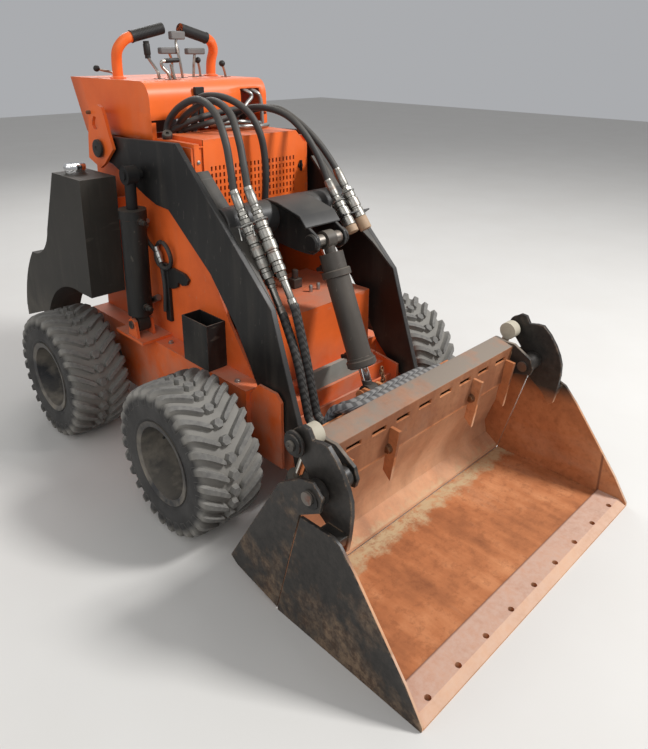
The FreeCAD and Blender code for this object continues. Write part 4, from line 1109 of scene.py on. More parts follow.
    def pad(self, shop: Workshop) -> None:
        """The operator's thigh pad: a crowned cushion, blown up by a short cloth run."""
        spine = smooth_path([(0, 0.822, 1.032), (0, 0.918, 1.184), (0, 0.948, 1.296)], 10)[:, 1:]
        u = np.linspace(-1, 1, 25)
        v = np.linspace(0, 1, len(spine))
        slope = unit(np.gradient(spine, axis=0))
        normal = np.stack([slope[:, 1], -slope[:, 0]], -1)
        crown = (1 - np.abs(u) ** 6)[None, :] * (1 - np.abs(2 * v - 1) ** 6)[:, None]
        shells = []
        for depth in (0.024, -0.006):
            thick = 0.004 * np.sign(depth) + depth * crown
            yz = spine[:, None] + normal[:, None] * thick[..., None]
            x = np.broadcast_to(u[None] * self.pad_half * (1 - 0.02 * (2 * v[:, None] - 1) ** 2), thick.shape)
            shells.append(np.concatenate([x[..., None], yz], -1).reshape(-1, 3))
        rows, cols = len(spine), len(u)
        grid = grid_faces(rows, cols)
        rim = np.concatenate([np.arange(cols), np.arange(1, rows) * cols + cols - 1,
                              (rows - 1) * cols + np.arange(cols - 2, -1, -1), np.arange(rows - 2, 0, -1) * cols])
        nxt = np.roll(rim, -1)
        side = np.stack([rim, nxt, nxt + rows * cols, rim + rows * cols], -1)
        shell = Shell(np.vstack(shells), [grid, grid + rows * cols, side])
        made = shop.piece("thigh_cushion", [shell], "pad_vinyl", None, angle=80)
        self.puff(made)
        smooth = made.modifiers.new("smooth", "SUBSURF")
        smooth.levels = smooth.render_levels = 1
        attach(made, "chassis")
        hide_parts("thigh_pad")

    def puff(self, cushion: bpy.types.Object, frames: int = 16, limit: float = 0.006) -> None:
        """Blows the cushion up as cloth with pressure; each point then moves by no more than the limit."""
        scene = bpy.context.scene
        before = np.empty(len(cushion.data.vertices) * 3)
        cushion.data.vertices.foreach_get("co", before)
        cloth = cushion.modifiers.new("cloth", "CLOTH")
        cloth.settings.use_pressure = True
        cloth.settings.uniform_pressure_force = 4.0
        cloth.settings.effector_weights.gravity = 0.0
        cloth.point_cache.frame_start, cloth.point_cache.frame_end = 1, frames
        for number in range(1, frames + 1):
            scene.frame_set(number)
        posed = cushion.evaluated_get(bpy.context.evaluated_depsgraph_get())
        after = np.empty(len(before))
        posed.data.vertices.foreach_get("co", after)
        cushion.modifiers.remove(cloth)
        scene.frame_set(1)
        step = (after - before).reshape(-1, 3)
        long = np.linalg.norm(step, axis=1, keepdims=True)
        step *= np.minimum(1.0, limit / np.maximum(long, 1e-9))
        cushion.data.vertices.foreach_set("co", (before.reshape(-1, 3) + step).ravel())
        cushion.data.update()


# ---- hoses -----------------------------------------------------------------------------------------------------


@dataclass
class Hoses:
    """Hydraulic lines: the arches from the hood to the arms, their couplers, and the guarded runs to the bucket."""

    radius: float = 0.0122
    guard_radius: float = 0.0145
    cap_radius: float = 0.0225
    tie_radius: float = 0.0245

    ARCHES = {  # from the hood's top, over the front of the hood, to the coupler
        "right_out": [(-0.216, 0.300, 1.191), (-0.210, 0.286, 1.238), (-0.209, 0.212, 1.290), (-0.212, 0.098, 1.320),
                      (-0.224, -0.008, 1.286), (-0.238, -0.076, 1.206), (-0.244, -0.104, 1.124),
                      (-0.246, -0.118, 1.057)],
        "right_in": [(-0.160, 0.300, 1.191), (-0.166, 0.286, 1.226), (-0.174, 0.214, 1.268), (-0.170, 0.088, 1.315),
                     (-0.180, -0.024, 1.286), (-0.198, -0.092, 1.210), (-0.209, -0.126, 1.136),
                     (-0.214, -0.148, 1.068)],
        "left_out": [(0.060, 0.300, 1.191), (0.062, 0.280, 1.240), (0.080, 0.191, 1.272), (0.100, 0.108, 1.274),
                     (0.122, 0.030, 1.250), (0.142, -0.034, 1.194), (0.160, -0.088, 1.112), (0.171, -0.120, 1.036)],
        "left_in": [(0.112, 0.300, 1.191), (0.114, 0.280, 1.232), (0.122, 0.218, 1.264), (0.150, 0.122, 1.270),
                    (0.178, 0.038, 1.226), (0.202, -0.034, 1.164), (0.218, -0.078, 1.110), (0.226, -0.109, 1.069)]}
    DROP = [  # down in front of the grille to the front box
        (-0.100, 0.300, 1.191), (-0.094, 0.276, 1.300), (-0.070, 0.200, 1.321), (-0.040, 0.129, 1.303),
        (-0.018, 0.070, 1.261), (-0.002, 0.040, 1.199), (0.008, 0.032, 1.129), (0.010, 0.030, 1.040),
        (0.002, 0.042, 0.880), (-0.024, 0.046, 0.740), (-0.044, 0.045, 0.642)]
    BANDS = {  # from share, to share, radius, sides: 22 for a round band and 6 for a hexagon
        "right": [(0.0, 0.03, 0.0145, 22), (0.03, 0.150, 0.0155, 22), (0.152, 0.170, 0.0140, 22),
                  (0.172, 0.200, 0.0180, 6), (0.202, 0.225, 0.0165, 22), (0.228, 0.262, 0.0185, 6),
                  (0.262, 0.285, 0.0150, 22), (0.288, 0.330, 0.01995, 22), (0.332, 0.345, 0.01764, 22),
                  (0.348, 0.420, 0.021, 22), (0.422, 0.440, 0.01848, 22), (0.442, 0.520, 0.02226, 22),
                  (0.522, 0.536, 0.0189, 22), (0.538, 0.610, 0.021, 22), (0.612, 0.640, 0.01806, 22),
                  (0.642, 0.690, 0.01974, 22), (0.692, 0.735, 0.0165, 6), (0.736, 0.760, 0.0140, 22),
                  (0.760, 0.905, 0.0118, 22), (0.906, 1.0, 0.0140, 22)],
        "left": [(0.0, 0.04, 0.0145, 22), (0.04, 0.36, 0.0160, 22), (0.362, 0.40, 0.0140, 22),
                 (0.402, 0.46, 0.0185, 6), (0.462, 0.49, 0.0155, 22), (0.50, 0.60, 0.02205, 22),
                 (0.602, 0.63, 0.0189, 22), (0.632, 0.80, 0.02394, 22), (0.802, 0.83, 0.01995, 22),
                 (0.832, 1.0, 0.0231, 22)]}
    TAILS = {  # the first two points are the coupler's line; on the left a dust cap ends at the third
        "right_out": [(-0.246, -0.118, 1.057), (-0.240, -0.344, 0.684), (-0.236, -0.396, 0.560),
                      (-0.234, -0.436, 0.410), (-0.234, -0.452, 0.366), (-0.234, -0.490, 0.352),
                      (-0.233, -0.530, 0.392)],
        "right_in": [(-0.214, -0.148, 1.068), (-0.222, -0.376, 0.718), (-0.208, -0.408, 0.560),
                     (-0.199, -0.436, 0.410), (-0.198, -0.452, 0.366), (-0.198, -0.490, 0.352),
                     (-0.197, -0.530, 0.392)],
        "left_out": [(0.171, -0.120, 1.036), (0.172, -0.233, 0.889), (0.172, -0.249, 0.868)],
        "left_in": [(0.226, -0.109, 1.069), (0.236, -0.223, 0.908), (0.238, -0.251, 0.869)]}
    BEAMS = [
        [(-0.233, -0.526, 0.388), (-0.232, -0.558, 0.446), (-0.228, -0.612, 0.474), (-0.170, -0.642, 0.482),
         (-0.060, -0.644, 0.484), (0.080, -0.641, 0.480), (0.180, -0.637, 0.472), (0.205, -0.632, 0.452),
         (0.206, -0.632, 0.441)],
        [(-0.197, -0.526, 0.388), (-0.196, -0.552, 0.438), (-0.186, -0.588, 0.462), (-0.100, -0.599, 0.468),
         (0.040, -0.600, 0.468), (0.130, -0.601, 0.464), (0.154, -0.603, 0.452), (0.156, -0.604, 0.439)]]

    def coupling(self, name: str) -> list[Shell]:
        """A crimped ferrule, hexagon collars, a quick coupler and its tail, at shares of the coupler's line."""
        start, end = (np.array(p, float) for p in self.TAILS[name][:2])
        shells = []
        for low, high, radius, sides in self.BANDS[name.split("_")[0]]:
            ends = np.array([start + (end - start) * low, start + (end - start) * high])
            shells.append(sleeves(ends, [(0.0, 1.0, radius)], sides))
        return shells

    def tail(self, name: str, skip: float) -> Array:
        """The rest of a line from a share of its coupler's run, as a smooth line."""
        points = self.TAILS[name]
        start, end = (np.array(p, float) for p in points[:2])
        return smooth_path([tuple(start + (end - start) * skip), *points[1:]], 16)

    def build(self, shop: Workshop) -> None:
        """Builds all lines."""
        arches = [tube(smooth_path(route, 8), self.radius, 16) for route in self.ARCHES.values()]
        made = shop.piece("arch_hoses", arches, "hose_rubber", None, angle=60)
        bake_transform(made)
        drop = tube(smooth_path(self.DROP, 8), self.radius, 16)
        shop.piece("middle_hoses", [drop], "hose_rubber", "chassis", angle=60)
        lines = [shell for name in self.TAILS for shell in self.coupling(name)]
        shop.piece("couplers", lines, "coupler_steel", "arms")
        self.fittings(shop)
        guards = [tube(self.tail(name, 0.97), self.guard_radius, 16) for name in ("right_out", "right_in")]
        made = shop.piece("guard_hoses", guards, "hose_guard", None, angle=60)
        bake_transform(made)
        beams = [tube(smooth_path(route, 10), self.guard_radius, 16) for route in self.BEAMS]
        shop.piece("beam_hoses", beams, "hose_guard_grey", "bucket", angle=60)

    def fittings(self, shop: Workshop) -> None:
        """Dust caps on the left-hand couplers, the plate that holds these two, and the wire ties on all four."""
        caps, ties = [], []
        t = np.linspace(0, 2 * math.pi, 33)[:-1]
        for name, points in self.TAILS.items():
            start, end = (np.array(p, float) for p in points[:2])
            left = name.startswith("left")
            if left:
                caps.append(sleeves(np.array([end, np.array(points[2])]), [(0, 1, self.cap_radius)], 22))
            u, v, w = axes_of(end - start)
            turn = np.cos(t)[:, None] * u + np.sin(t)[:, None] * v
            ring = start + (end - start) * (0.48 if left else 0.275) + self.tie_radius * turn
            side = unit(np.array([-1.0, -0.4, 0.0]))
            ties.append(tube(np.vstack([ring, ring[:1] + 0.002 * w, ring[:1] + 0.024 * side - 0.004 * w,
                                        ring[:1] + 0.034 * side + 0.034 * w]), 0.0022, 8))
        shop.piece("dust_caps", caps, "tan_cap", "arms")
        middle, across, thick = np.array([-0.205, 0.917]), np.array([-0.795, 0.607]), np.array([-0.607, -0.795])
        rim = [tuple(middle + a * across + b * thick) for a, b in ((-0.028, -0.0025), (0.028, -0.0025),
                                                                 (0.028, 0.0025), (-0.028, 0.0025))]
        shop.piece("coupler_plate", [slab(rim, 0.146, 0.2803)], "black_enamel", "arms", bevel=0.001)
        shop.piece("wire_ties", ties, "zinc", "arms")


# ---- hood, console, arms, bucket --------------------------------------------------------------------------------


@dataclass
class Housing:
    """The engine hood with its slotted grille and the console's folded skin, with the window for two pipes."""

    half: float = 0.2517
    front: float = 0.080
    back: float = 0.310
    top: float = 1.192
    chamfer: float = 0.050
    sheet: float = 0.004
    console_half: float = 0.262
    console_top: float = 1.369

    def build(self, shop: Workshop) -> None:
        """Builds hood and console."""
        hood = shop.piece("hood_sheets", self.hood(), "orange_enamel", "chassis", angle=30)
        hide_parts("hood")
        console = shop.piece("console_skin", [self.console()], "orange_enamel", "chassis", angle=28)
        wall = console.modifiers.new("wall", "SOLIDIFY")
        wall.thickness, wall.offset = self.sheet, -1.0
        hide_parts("console")
        self.trim(shop)

    def hood(self) -> list[Shell]:
        """The folded outer sheet with its sunk seam, as a band carried along Y, and the pierced front panel."""
        h, z, c, t = self.half, self.top, self.chamfer, self.sheet
        outer = [(-h, 0.880), (-h, 1.180), (-0.231, 1.180), (-0.231, 1.172), (-0.215, 1.172), (-0.215, z), (h - c, z),
                 (h, z - c), (h, 0.880)]
        inner = [(h - t, 0.880), (h - t, z - c - t * 0.4), (h - c - t * 0.4, z - t), (-0.211, z - t),
                 (-0.211, 1.168), (-0.235, 1.168), (-0.235, 1.176), (-h + t, 1.176), (-h + t, 0.880)]
        band = slab(outer + inner, self.front, self.back, 1)
        ends = [slab([(-h + 0.0002, 0.880), (-h + 0.0002, 1.1798), (-0.231, 1.1798), (-0.231, 0.880)],
                     self.front + 0.0002, self.front + t, 1),
                slab([(-0.2312, 0.880), (-0.2312, 1.1718), (-0.2148, 1.1718), (-0.2148, 0.880)],
                     self.front + 0.007, self.front + 0.011, 1),
                slab([(h - 0.0002, 0.880), (h - 0.0002, z - c), (h - c, z - 0.0002), (h - c, 0.880)],
                     self.front + 0.0002, self.front + t, 1)]
        columns, rows = np.arange(23), np.arange(6)
        slots = np.stack([-0.188 + 0.017 * columns, -0.181 + 0.017 * columns], -1).ravel()
        levels = np.stack([0.966 + 0.024 * rows, 0.981 + 0.024 * rows], -1).ravel()
        us = np.concatenate([[-0.215], slots[:46], [h - c]])
        vs = np.concatenate([[0.880], levels, [z - 0.0002]])
        open_cells = np.zeros((len(us) - 1, len(vs) - 1), bool)
        open_cells[1::2, 1::2] = True
        open_cells[-1] = False
        panel = pierced(us, vs, open_cells, (self.front + 0.0002, self.front + t), lambda u, v, w: (u, w, v))
        return [band, panel] + ends

    def console_front(self, z: Array) -> Array:
        """Y of the console's front by height: upright to 1.300, then a round shoulder that ends level at the top."""
        share = np.clip((z - 1.300) / (self.console_top - 1.300), 0, 1)
        return 0.318 + 0.052 * (1 - np.sqrt(np.maximum(1 - share ** 2.2, 0.0)))

    def console(self) -> Shell:
        """Front, lid and sides as one skin: the front folds round into the lid, the sides meet both at sharp edges.

        The back edge of the sides leans back by 0.454 for each metre of height.
        """
        z = np.array([1.239, 1.266, 1.300, 1.312, 1.323, 1.333, 1.342, 1.350, 1.357, 1.3625, 1.3665, 1.3685, 1.369])
        share = np.array([-1, -0.8, -0.4, 0.0, 0.3, 0.519, 0.7, 0.878, 0.95, 1.0])
        along = np.linspace(0, 1, 7)
        x = np.broadcast_to(self.console_half * share, (len(z), len(share)))
        face = np.stack([x, np.broadcast_to(self.console_front(z)[:, None], x.shape), 0 * x + z[:, None]], -1)
        cells = grid_faces(*x.shape)
        row, column = np.divmod(cells[:, 0], x.shape[1])
        window = (row >= 1) & (row <= 4) & ((column == 5) | (column == 6))
        shells = [Shell(face.reshape(-1, 3), [cells[~window]])]
        levels = np.concatenate([[1.165, 1.200], z])
        front, back = self.console_front(levels), 0.802 + (levels - 1.142) * 0.454
        y = front[:, None] + (back - front)[:, None] * along
        for s in (-1, 1):
            side = np.stack([np.full(y.shape, s * self.console_half), y, 0 * y + levels[:, None]], -1)
            shells.append(Shell(side.reshape(-1, 3), [grid_faces(*y.shape)]))
        lid = np.stack(np.broadcast_arrays(x[-1][:, None], y[-1][None], self.console_top), -1)
        shells.append(Shell(lid.reshape(-1, 3), [grid_faces(len(share), len(along))]))
        return merge(shells)

    def trim(self, shop: Workshop) -> None:
        """The strap at the fold, the two pipes in the window, the strips below the console and the hood's bolts."""
        strap = [block((-0.078, 0.306, 1.318), (-0.040, 0.322, 1.346)),
                 block((-0.070, 0.300, 1.200), (-0.050, 0.308, 1.322))]
        shop.piece("hose_strap", strap, "soft_black", "chassis", bevel=0.002)
        pipes = [tube(smooth_path(points, 8), 0.0075, 14) for points in (
            [(0.150, 0.360, 1.330), (0.166, 0.310, 1.320), (0.175, 0.302, 1.302), (0.150, 0.300, 1.280),
             (0.132, 0.296, 1.262)],
            [(0.190, 0.360, 1.330), (0.204, 0.310, 1.318), (0.218, 0.302, 1.296), (0.222, 0.300, 1.250),
             (0.222, 0.298, 1.196)])]
        pipes += [tube(smooth_path(points, 8), 0.0085, 14) for points in (
            [(-0.050, 0.270, 1.215), (0.040, 0.240, 1.222), (0.120, 0.236, 1.214), (0.180, 0.262, 1.206)],
            [(-0.030, 0.236, 1.204), (0.060, 0.206, 1.206), (0.140, 0.204, 1.202), (0.200, 0.240, 1.200)])]
        shop.piece("steel_pipes", pipes, "zinc", "chassis")
        dark = [tube(smooth_path(points, 8), 0.0105, 14) for points in (
            [(-0.190, 0.304, 1.202), (-0.130, 0.250, 1.240), (-0.020, 0.262, 1.256), (0.100, 0.300, 1.262)],
            [(-0.150, 0.298, 1.200), (-0.080, 0.232, 1.226), (0.020, 0.244, 1.240), (0.130, 0.306, 1.236)])]
        shop.piece("gap_hoses", dark, "hose_rubber", "chassis")
        strips = twins([(0.3155, 1.166), (0.3175, 1.166), (0.3175, 1.232), (0.3155, 1.232)], 0.244, 0.262)
        shop.piece("console_strips", strips, "orange_enamel", "chassis")
        round_cap = [stamp(button(0.018, 0.020), [(-0.236, 0.262, 1.188)], (-0.3, -0.6, 0.7))]
        shop.piece("hood_cap", round_cap, "cast_grey", "chassis")
        latch = [stamp(button(0.011, 0.006), [(0.222, 0.080, 1.060)], (0, -1, 0)),
                 block((0.219, 0.070, 1.040), (0.225, 0.078, 1.080))]
        shop.piece("hood_latch", latch, "black_parts", "chassis")
        bolts = [stamp(hex_bolt(0.010), [(-0.236, 0.080, 1.120), (-0.236, 0.080, 0.960), (-0.010, 0.080, 0.934)],
                       (0, -1, 0))]
        shop.piece("hood_bolts", bolts, "zinc", "chassis")


@dataclass
class LiftArms:
    """Both arms with their top flanges, the cross tube and the folded bracket that carries the tilt cylinder."""

    inner_x: float = 0.280
    outer_x: float = 0.300
    tube_radius: float = 0.057
    cross: tuple[float, float] = (-0.075, 0.940)
    tilt_pin: tuple[float, float] = (-0.290, 0.885)

    OUTLINE = [(0.646, 1.142), (0.622, 1.170), (0.531, 1.168), (0.118, 1.185), (0.0, 1.071), (-0.110, 0.965),
               (-0.200, 0.877), (-0.280, 0.800), (-0.350, 0.732), (-0.418, 0.528), (-0.472, 0.371), (-0.548, 0.150),
               (-0.540, 0.103), (-0.490, 0.097), (-0.465, 0.145), (-0.429, 0.312), (-0.358, 0.354), (-0.280, 0.429),
               (-0.171, 0.618), (-0.041, 0.773), (0.189, 0.951), (0.266, 0.956), (0.337, 0.978), (0.552, 1.064),
               (0.626, 1.074)]
    EAR = [(-0.060, 0.992), (-0.133, 0.988), (-0.241, 0.961), (-0.272, 0.931), (-0.312, 0.909), (-0.321, 0.885),
           (-0.314, 0.862), (-0.292, 0.845), (-0.262, 0.842), (-0.207, 0.843), (-0.110, 0.852), (-0.060, 0.884)]
    ROOF = [(-0.070, 1.000), (-0.133, 0.996), (-0.244, 0.968), (-0.275, 0.934), (-0.267, 0.927), (-0.239, 0.958),
            (-0.133, 0.986), (-0.070, 0.990)]

    def flange(self, s: int) -> Shell:
        """The flat top flange inside an arm: its inner edge runs out to the arm as the hoses come near."""
        line = np.array([(0.030, 1.100, 0.234), (-0.110, 0.965, 0.232), (-0.200, 0.877, 0.240), (-0.262, 0.817, 0.266),
                         (-0.345, 0.737, 0.279)])
        down = np.array([0.0, 0.0052, -0.0060])
        rows = [np.stack([np.full(len(line), s * 0.2805), line[:, 0], line[:, 1]], -1),
                np.stack([s * line[:, 2], line[:, 0], line[:, 1]], -1)]
        ring = [rows[0], rows[1], rows[1] + down, rows[0] + down]
        points = np.stack(ring, 1)
        count = len(line)
        caps = np.array([[0, 1, 2, 3], [4 * count - 4, 4 * count - 3, 4 * count - 2, 4 * count - 1]])
        return Shell(points.reshape(-1, 3), [grid_faces(count, 4, close_columns=True), caps])

    def build(self, shop: Workshop) -> None:
        """Builds arms, bracket and tilt pin."""
        plates = twins(self.OUTLINE, self.inner_x, self.outer_x)
        made = shop.piece("arm_plates", plates, "black_enamel", "arms", bevel=0.0025)
        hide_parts("lift_arms")
        flanges = [self.flange(s) for s in (-1, 1)]
        shop.piece("arm_flanges", flanges, "flange_grey", "arms", bevel=0.001)
        y, z = self.cross
        bar = lathe([(-0.2798, self.tube_radius), (0.2798, self.tube_radius)], (0, y, z), (1, 0, 0), 48)
        ears = twins(self.EAR, 0.056, 0.068)
        roof = slab(self.ROOF, -0.080, 0.080)
        shop.piece("tilt_bracket", [bar, roof] + ears, "black_enamel", "arms", bevel=0.003)
        y, z = self.tilt_pin
        pin = lathe([(-0.076, 0.014), (0.076, 0.014)], (0, y, z), (1, 0, 0), 28)
        bosses = [lathe([(s * 0.0682, 0.030), (s * 0.074, 0.030), (s * 0.079, 0.026), (s * 0.079, 0.0)], (0, y, z),
                        (1, 0, 0), 32) for s in (-1, 1)]
        spacers = [lathe([(s * 0.024, 0.022), (s * 0.055, 0.022)], (0, y, z), (1, 0, 0), 28) for s in (-1, 1)]
        shop.piece("tilt_pin_bosses", bosses, "black_parts", "arms")
        made = shop.piece("tilt_pin_bar", [pin] + spacers, "pin_steel", "arms")
        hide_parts("tilt_top_pin")


@dataclass
class Bucket:
    """The four-in-one bucket: the rear half with its pierced beam, and the front jaw with its ears."""

    side_x: float = 0.578
    side: float = 0.010
    jaw: tuple[float, float] = (-0.812, 0.452)
    ear_x: float = 0.535
    eye: tuple[float, float] = (-0.725, 0.548)
    hole_radius: float = 0.009
    holes: int = 9
    hole_pitch: float = 0.127

    BACK_SIDE = [(-0.470, 0.060), (-0.697, 0.434), (-0.779, 0.488), (-0.822, 0.498), (-0.856, 0.466), (-0.848, 0.422),
                 (-0.774, 0.376), (-0.677, 0.008), (-0.500, 0.040)]
    WALL = [(-0.691, 0.340), (-0.640, 0.200), (-0.604, 0.100), (-0.615, 0.044), (-0.668, 0.008), (-0.679, 0.008),
            (-0.676, 0.018), (-0.624, 0.052), (-0.614, 0.100), (-0.650, 0.204), (-0.702, 0.344)]
    MIDDLE = [(-0.691, 0.520), (-0.689, 0.334), (-0.698, 0.334), (-0.752, 0.374), (-0.750, 0.384), (-0.701, 0.384),
              (-0.701, 0.520)]
    LID = [(-0.691, 0.526), (-0.700, 0.528), (-0.7668, 0.5132), (-0.7592, 0.5035), (-0.700, 0.517), (-0.691, 0.516)]
    HOOK = [(-0.5863, 0.384), (-0.5863, 0.436), (-0.698, 0.446), (-0.698, 0.418), (-0.606, 0.404)]
    FOOT = [(-0.5863, 0.074), (-0.5863, 0.110), (-0.618, 0.124), (-0.618, 0.072)]
    RIB = [(-0.798, 0.468), (-0.771, 0.290), (-0.742, 0.318), (-0.750, 0.384), (-0.760, 0.470)]
    LUG = [(-0.700, 0.380), (-0.690, 0.520), (-0.772, 0.522), (-0.838, 0.484), (-0.850, 0.452), (-0.842, 0.426),
           (-0.792, 0.416)]
    BASE = [(-0.551, 0.120), (-0.551, 0.156), (-0.575, 0.166), (-0.632, 0.160), (-0.612, 0.092)]
    JAW_SIDE = [(-0.6798, 0.012), (-0.6798, 0.0), (-1.183, 0.0), (-1.183, 0.014), (-1.131, 0.096), (-0.963, 0.313),
                (-0.915, 0.366), (-0.890, 0.376), (-0.7765, 0.372)]
    EAR = [(-0.699, 0.554), (-0.703, 0.572), (-0.715, 0.584), (-0.740, 0.602), (-0.762, 0.600), (-0.777, 0.575),
           (-0.805, 0.581), (-0.829, 0.582), (-0.858, 0.556), (-0.883, 0.522), (-0.899, 0.492), (-0.910, 0.460),
           (-0.912, 0.420), (-0.908, 0.380), (-0.904, 0.345), (-0.897, 0.309), (-0.880, 0.296), (-0.852, 0.336),
           (-0.802, 0.372), (-0.782, 0.402), (-0.760, 0.472), (-0.719, 0.520)]
    WEB = [(-0.904, 0.366), (-0.896, 0.332), (-0.862, 0.332), (-0.838, 0.354), (-0.834, 0.366)]
    EDGE = [(-1.082, 0.0), (-1.183, 0.0), (-1.183, 0.006), (-1.157, 0.020), (-1.082, 0.020)]

    def beam_front(self) -> Shell:
        """The beam's front wall with its row of slots: a pierced sheet leaning from (y, z) low to high by height."""
        us = np.concatenate([[-0.448], np.stack([-0.3975 + 0.105 * np.arange(8), -0.3375 + 0.105 * np.arange(8)],
                                                -1).ravel(), [0.448]])
        vs = np.array([0.374, 0.471, 0.486, 0.513])
        open_cells = np.zeros((len(us) - 1, 3), bool)
        open_cells[1::2, 1] = True
        return pierced(us, vs, open_cells, (0.0, 0.009), lambda u, v, w: (u, -0.756 - (v - 0.374) * 0.0791 + w, v))

    def build(self, shop: Workshop) -> None:
        """Builds both halves and their trim."""
        inner = self.side_x - self.side - 0.0003
        y, z = self.jaw
        back = twins(self.BACK_SIDE, self.side_x - self.side, self.side_x)
        back += [slab(self.WALL, -inner, inner), slab(self.MIDDLE, -0.4477, 0.4477), slab(self.LID, -0.4479, 0.4479),
                 slab(self.HOOK, -0.300, 0.300), slab(self.FOOT, -0.300, 0.300), self.beam_front()]
        back += twins(self.RIB, 0.204, 0.216) + twins(self.RIB, 0.402, 0.414)
        back += twins(self.LUG, 0.436, 0.448)
        back += twins(self.BASE, 0.440, 0.452) + twins(self.BASE, 0.516, 0.528)
        for s in (-1, 1):
            for near, far, radius in ((0.541, 0.5677, 0.034), (0.4483, 0.515, 0.030)):
                back.append(lathe([(near, radius - 0.003), (near + 0.003, radius), (far - 0.003, radius),
                                   (far, radius - 0.003)], (0, y, z), (s, 0, 0), 40))
        made = shop.piece("bucket_rear_plates", back, "bucket_plate", "bucket", bevel=0.0015)
        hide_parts("bucket_back")
        front = twins(self.JAW_SIDE, self.side_x - self.side, self.side_x)
        front += twins(self.EAR, self.ear_x - 0.014, self.ear_x)
        front += twins(self.WEB, self.ear_x, inner)
        front += [block((-inner, -1.100, 0.0), (inner, -0.681, 0.010))]
        for s in (-1, 1):
            front.append(lathe([(self.ear_x, 0.020), (self.ear_x + 0.008, 0.020)], (0, *self.eye), (s, 0, 0), 28))
        made = shop.piece("bucket_jaw_plates", front, "bucket_plate", "jaw", bevel=0.0015)
        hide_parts("bucket_jaw")
        edge = shop.piece("cutting_edge", [slab(self.EDGE, -inner + 0.0002, inner - 0.0002)], "bucket_plate", "jaw")
        peg = [(-0.05, self.hole_radius), (0.05, self.hole_radius)]
        cut_out(edge, merge([lathe(peg, (self.hole_pitch * (n - (self.holes - 1) / 2), -1.148, 0.01), (0, 0, 1), 24)
                             for n in range(self.holes)]))
        self.trim(shop)

    def trim(self, shop: Workshop) -> None:
        """Washers and caps of the ears' pins, the hinge's washers with their bolts, and the rib bolts."""
        hinge_at = (self.jaw[0] - 0.004, self.jaw[1] - 0.006)
        rings = ([(0.0, 0.036), (0.006, 0.036), (0.008, 0.033), (0.008, 0.020)],
                 [(0.008, 0.029), (0.013, 0.029), (0.015, 0.026), (0.015, 0.015)])
        hinge_ring = [(-0.001, 0.026), (0.0035, 0.026), (0.0045, 0.024), (0.0045, 0.018)]
        washers, caps, hinges, bolts = [], [], [], []
        for s in (-1, 1):
            out = (s, 0, 0)
            washers += [lathe(ring, (s * (self.ear_x + 0.0082), *self.eye), out, 36) for ring in rings]
            caps.append(stamp(button(0.015, 0.010), [(s * (self.ear_x + 0.021), *self.eye)], out))
            hinges.append(lathe(hinge_ring, (s * self.side_x, *hinge_at), out, 36))
            hinges.append(stamp(hex_bolt(0.015), [(s * (self.side_x + 0.001), *hinge_at)], out))
            bolts.append(stamp(hex_bolt(0.024), [(s * 0.210 - 0.007, -0.762, 0.400)], (-1, 0, 0)))
        shop.piece("ear_washers", washers, "black_parts", "jaw")
        shop.piece("ear_pin_caps", caps, "cast_grey", "jaw")
        shop.piece("hinge_washers", hinges, "black_parts", "bucket")
        shop.piece("bucket_bolts", bolts, "rusty_steel", "bucket")


# ---- small parts ------------------------------------------------------------------------------------------------


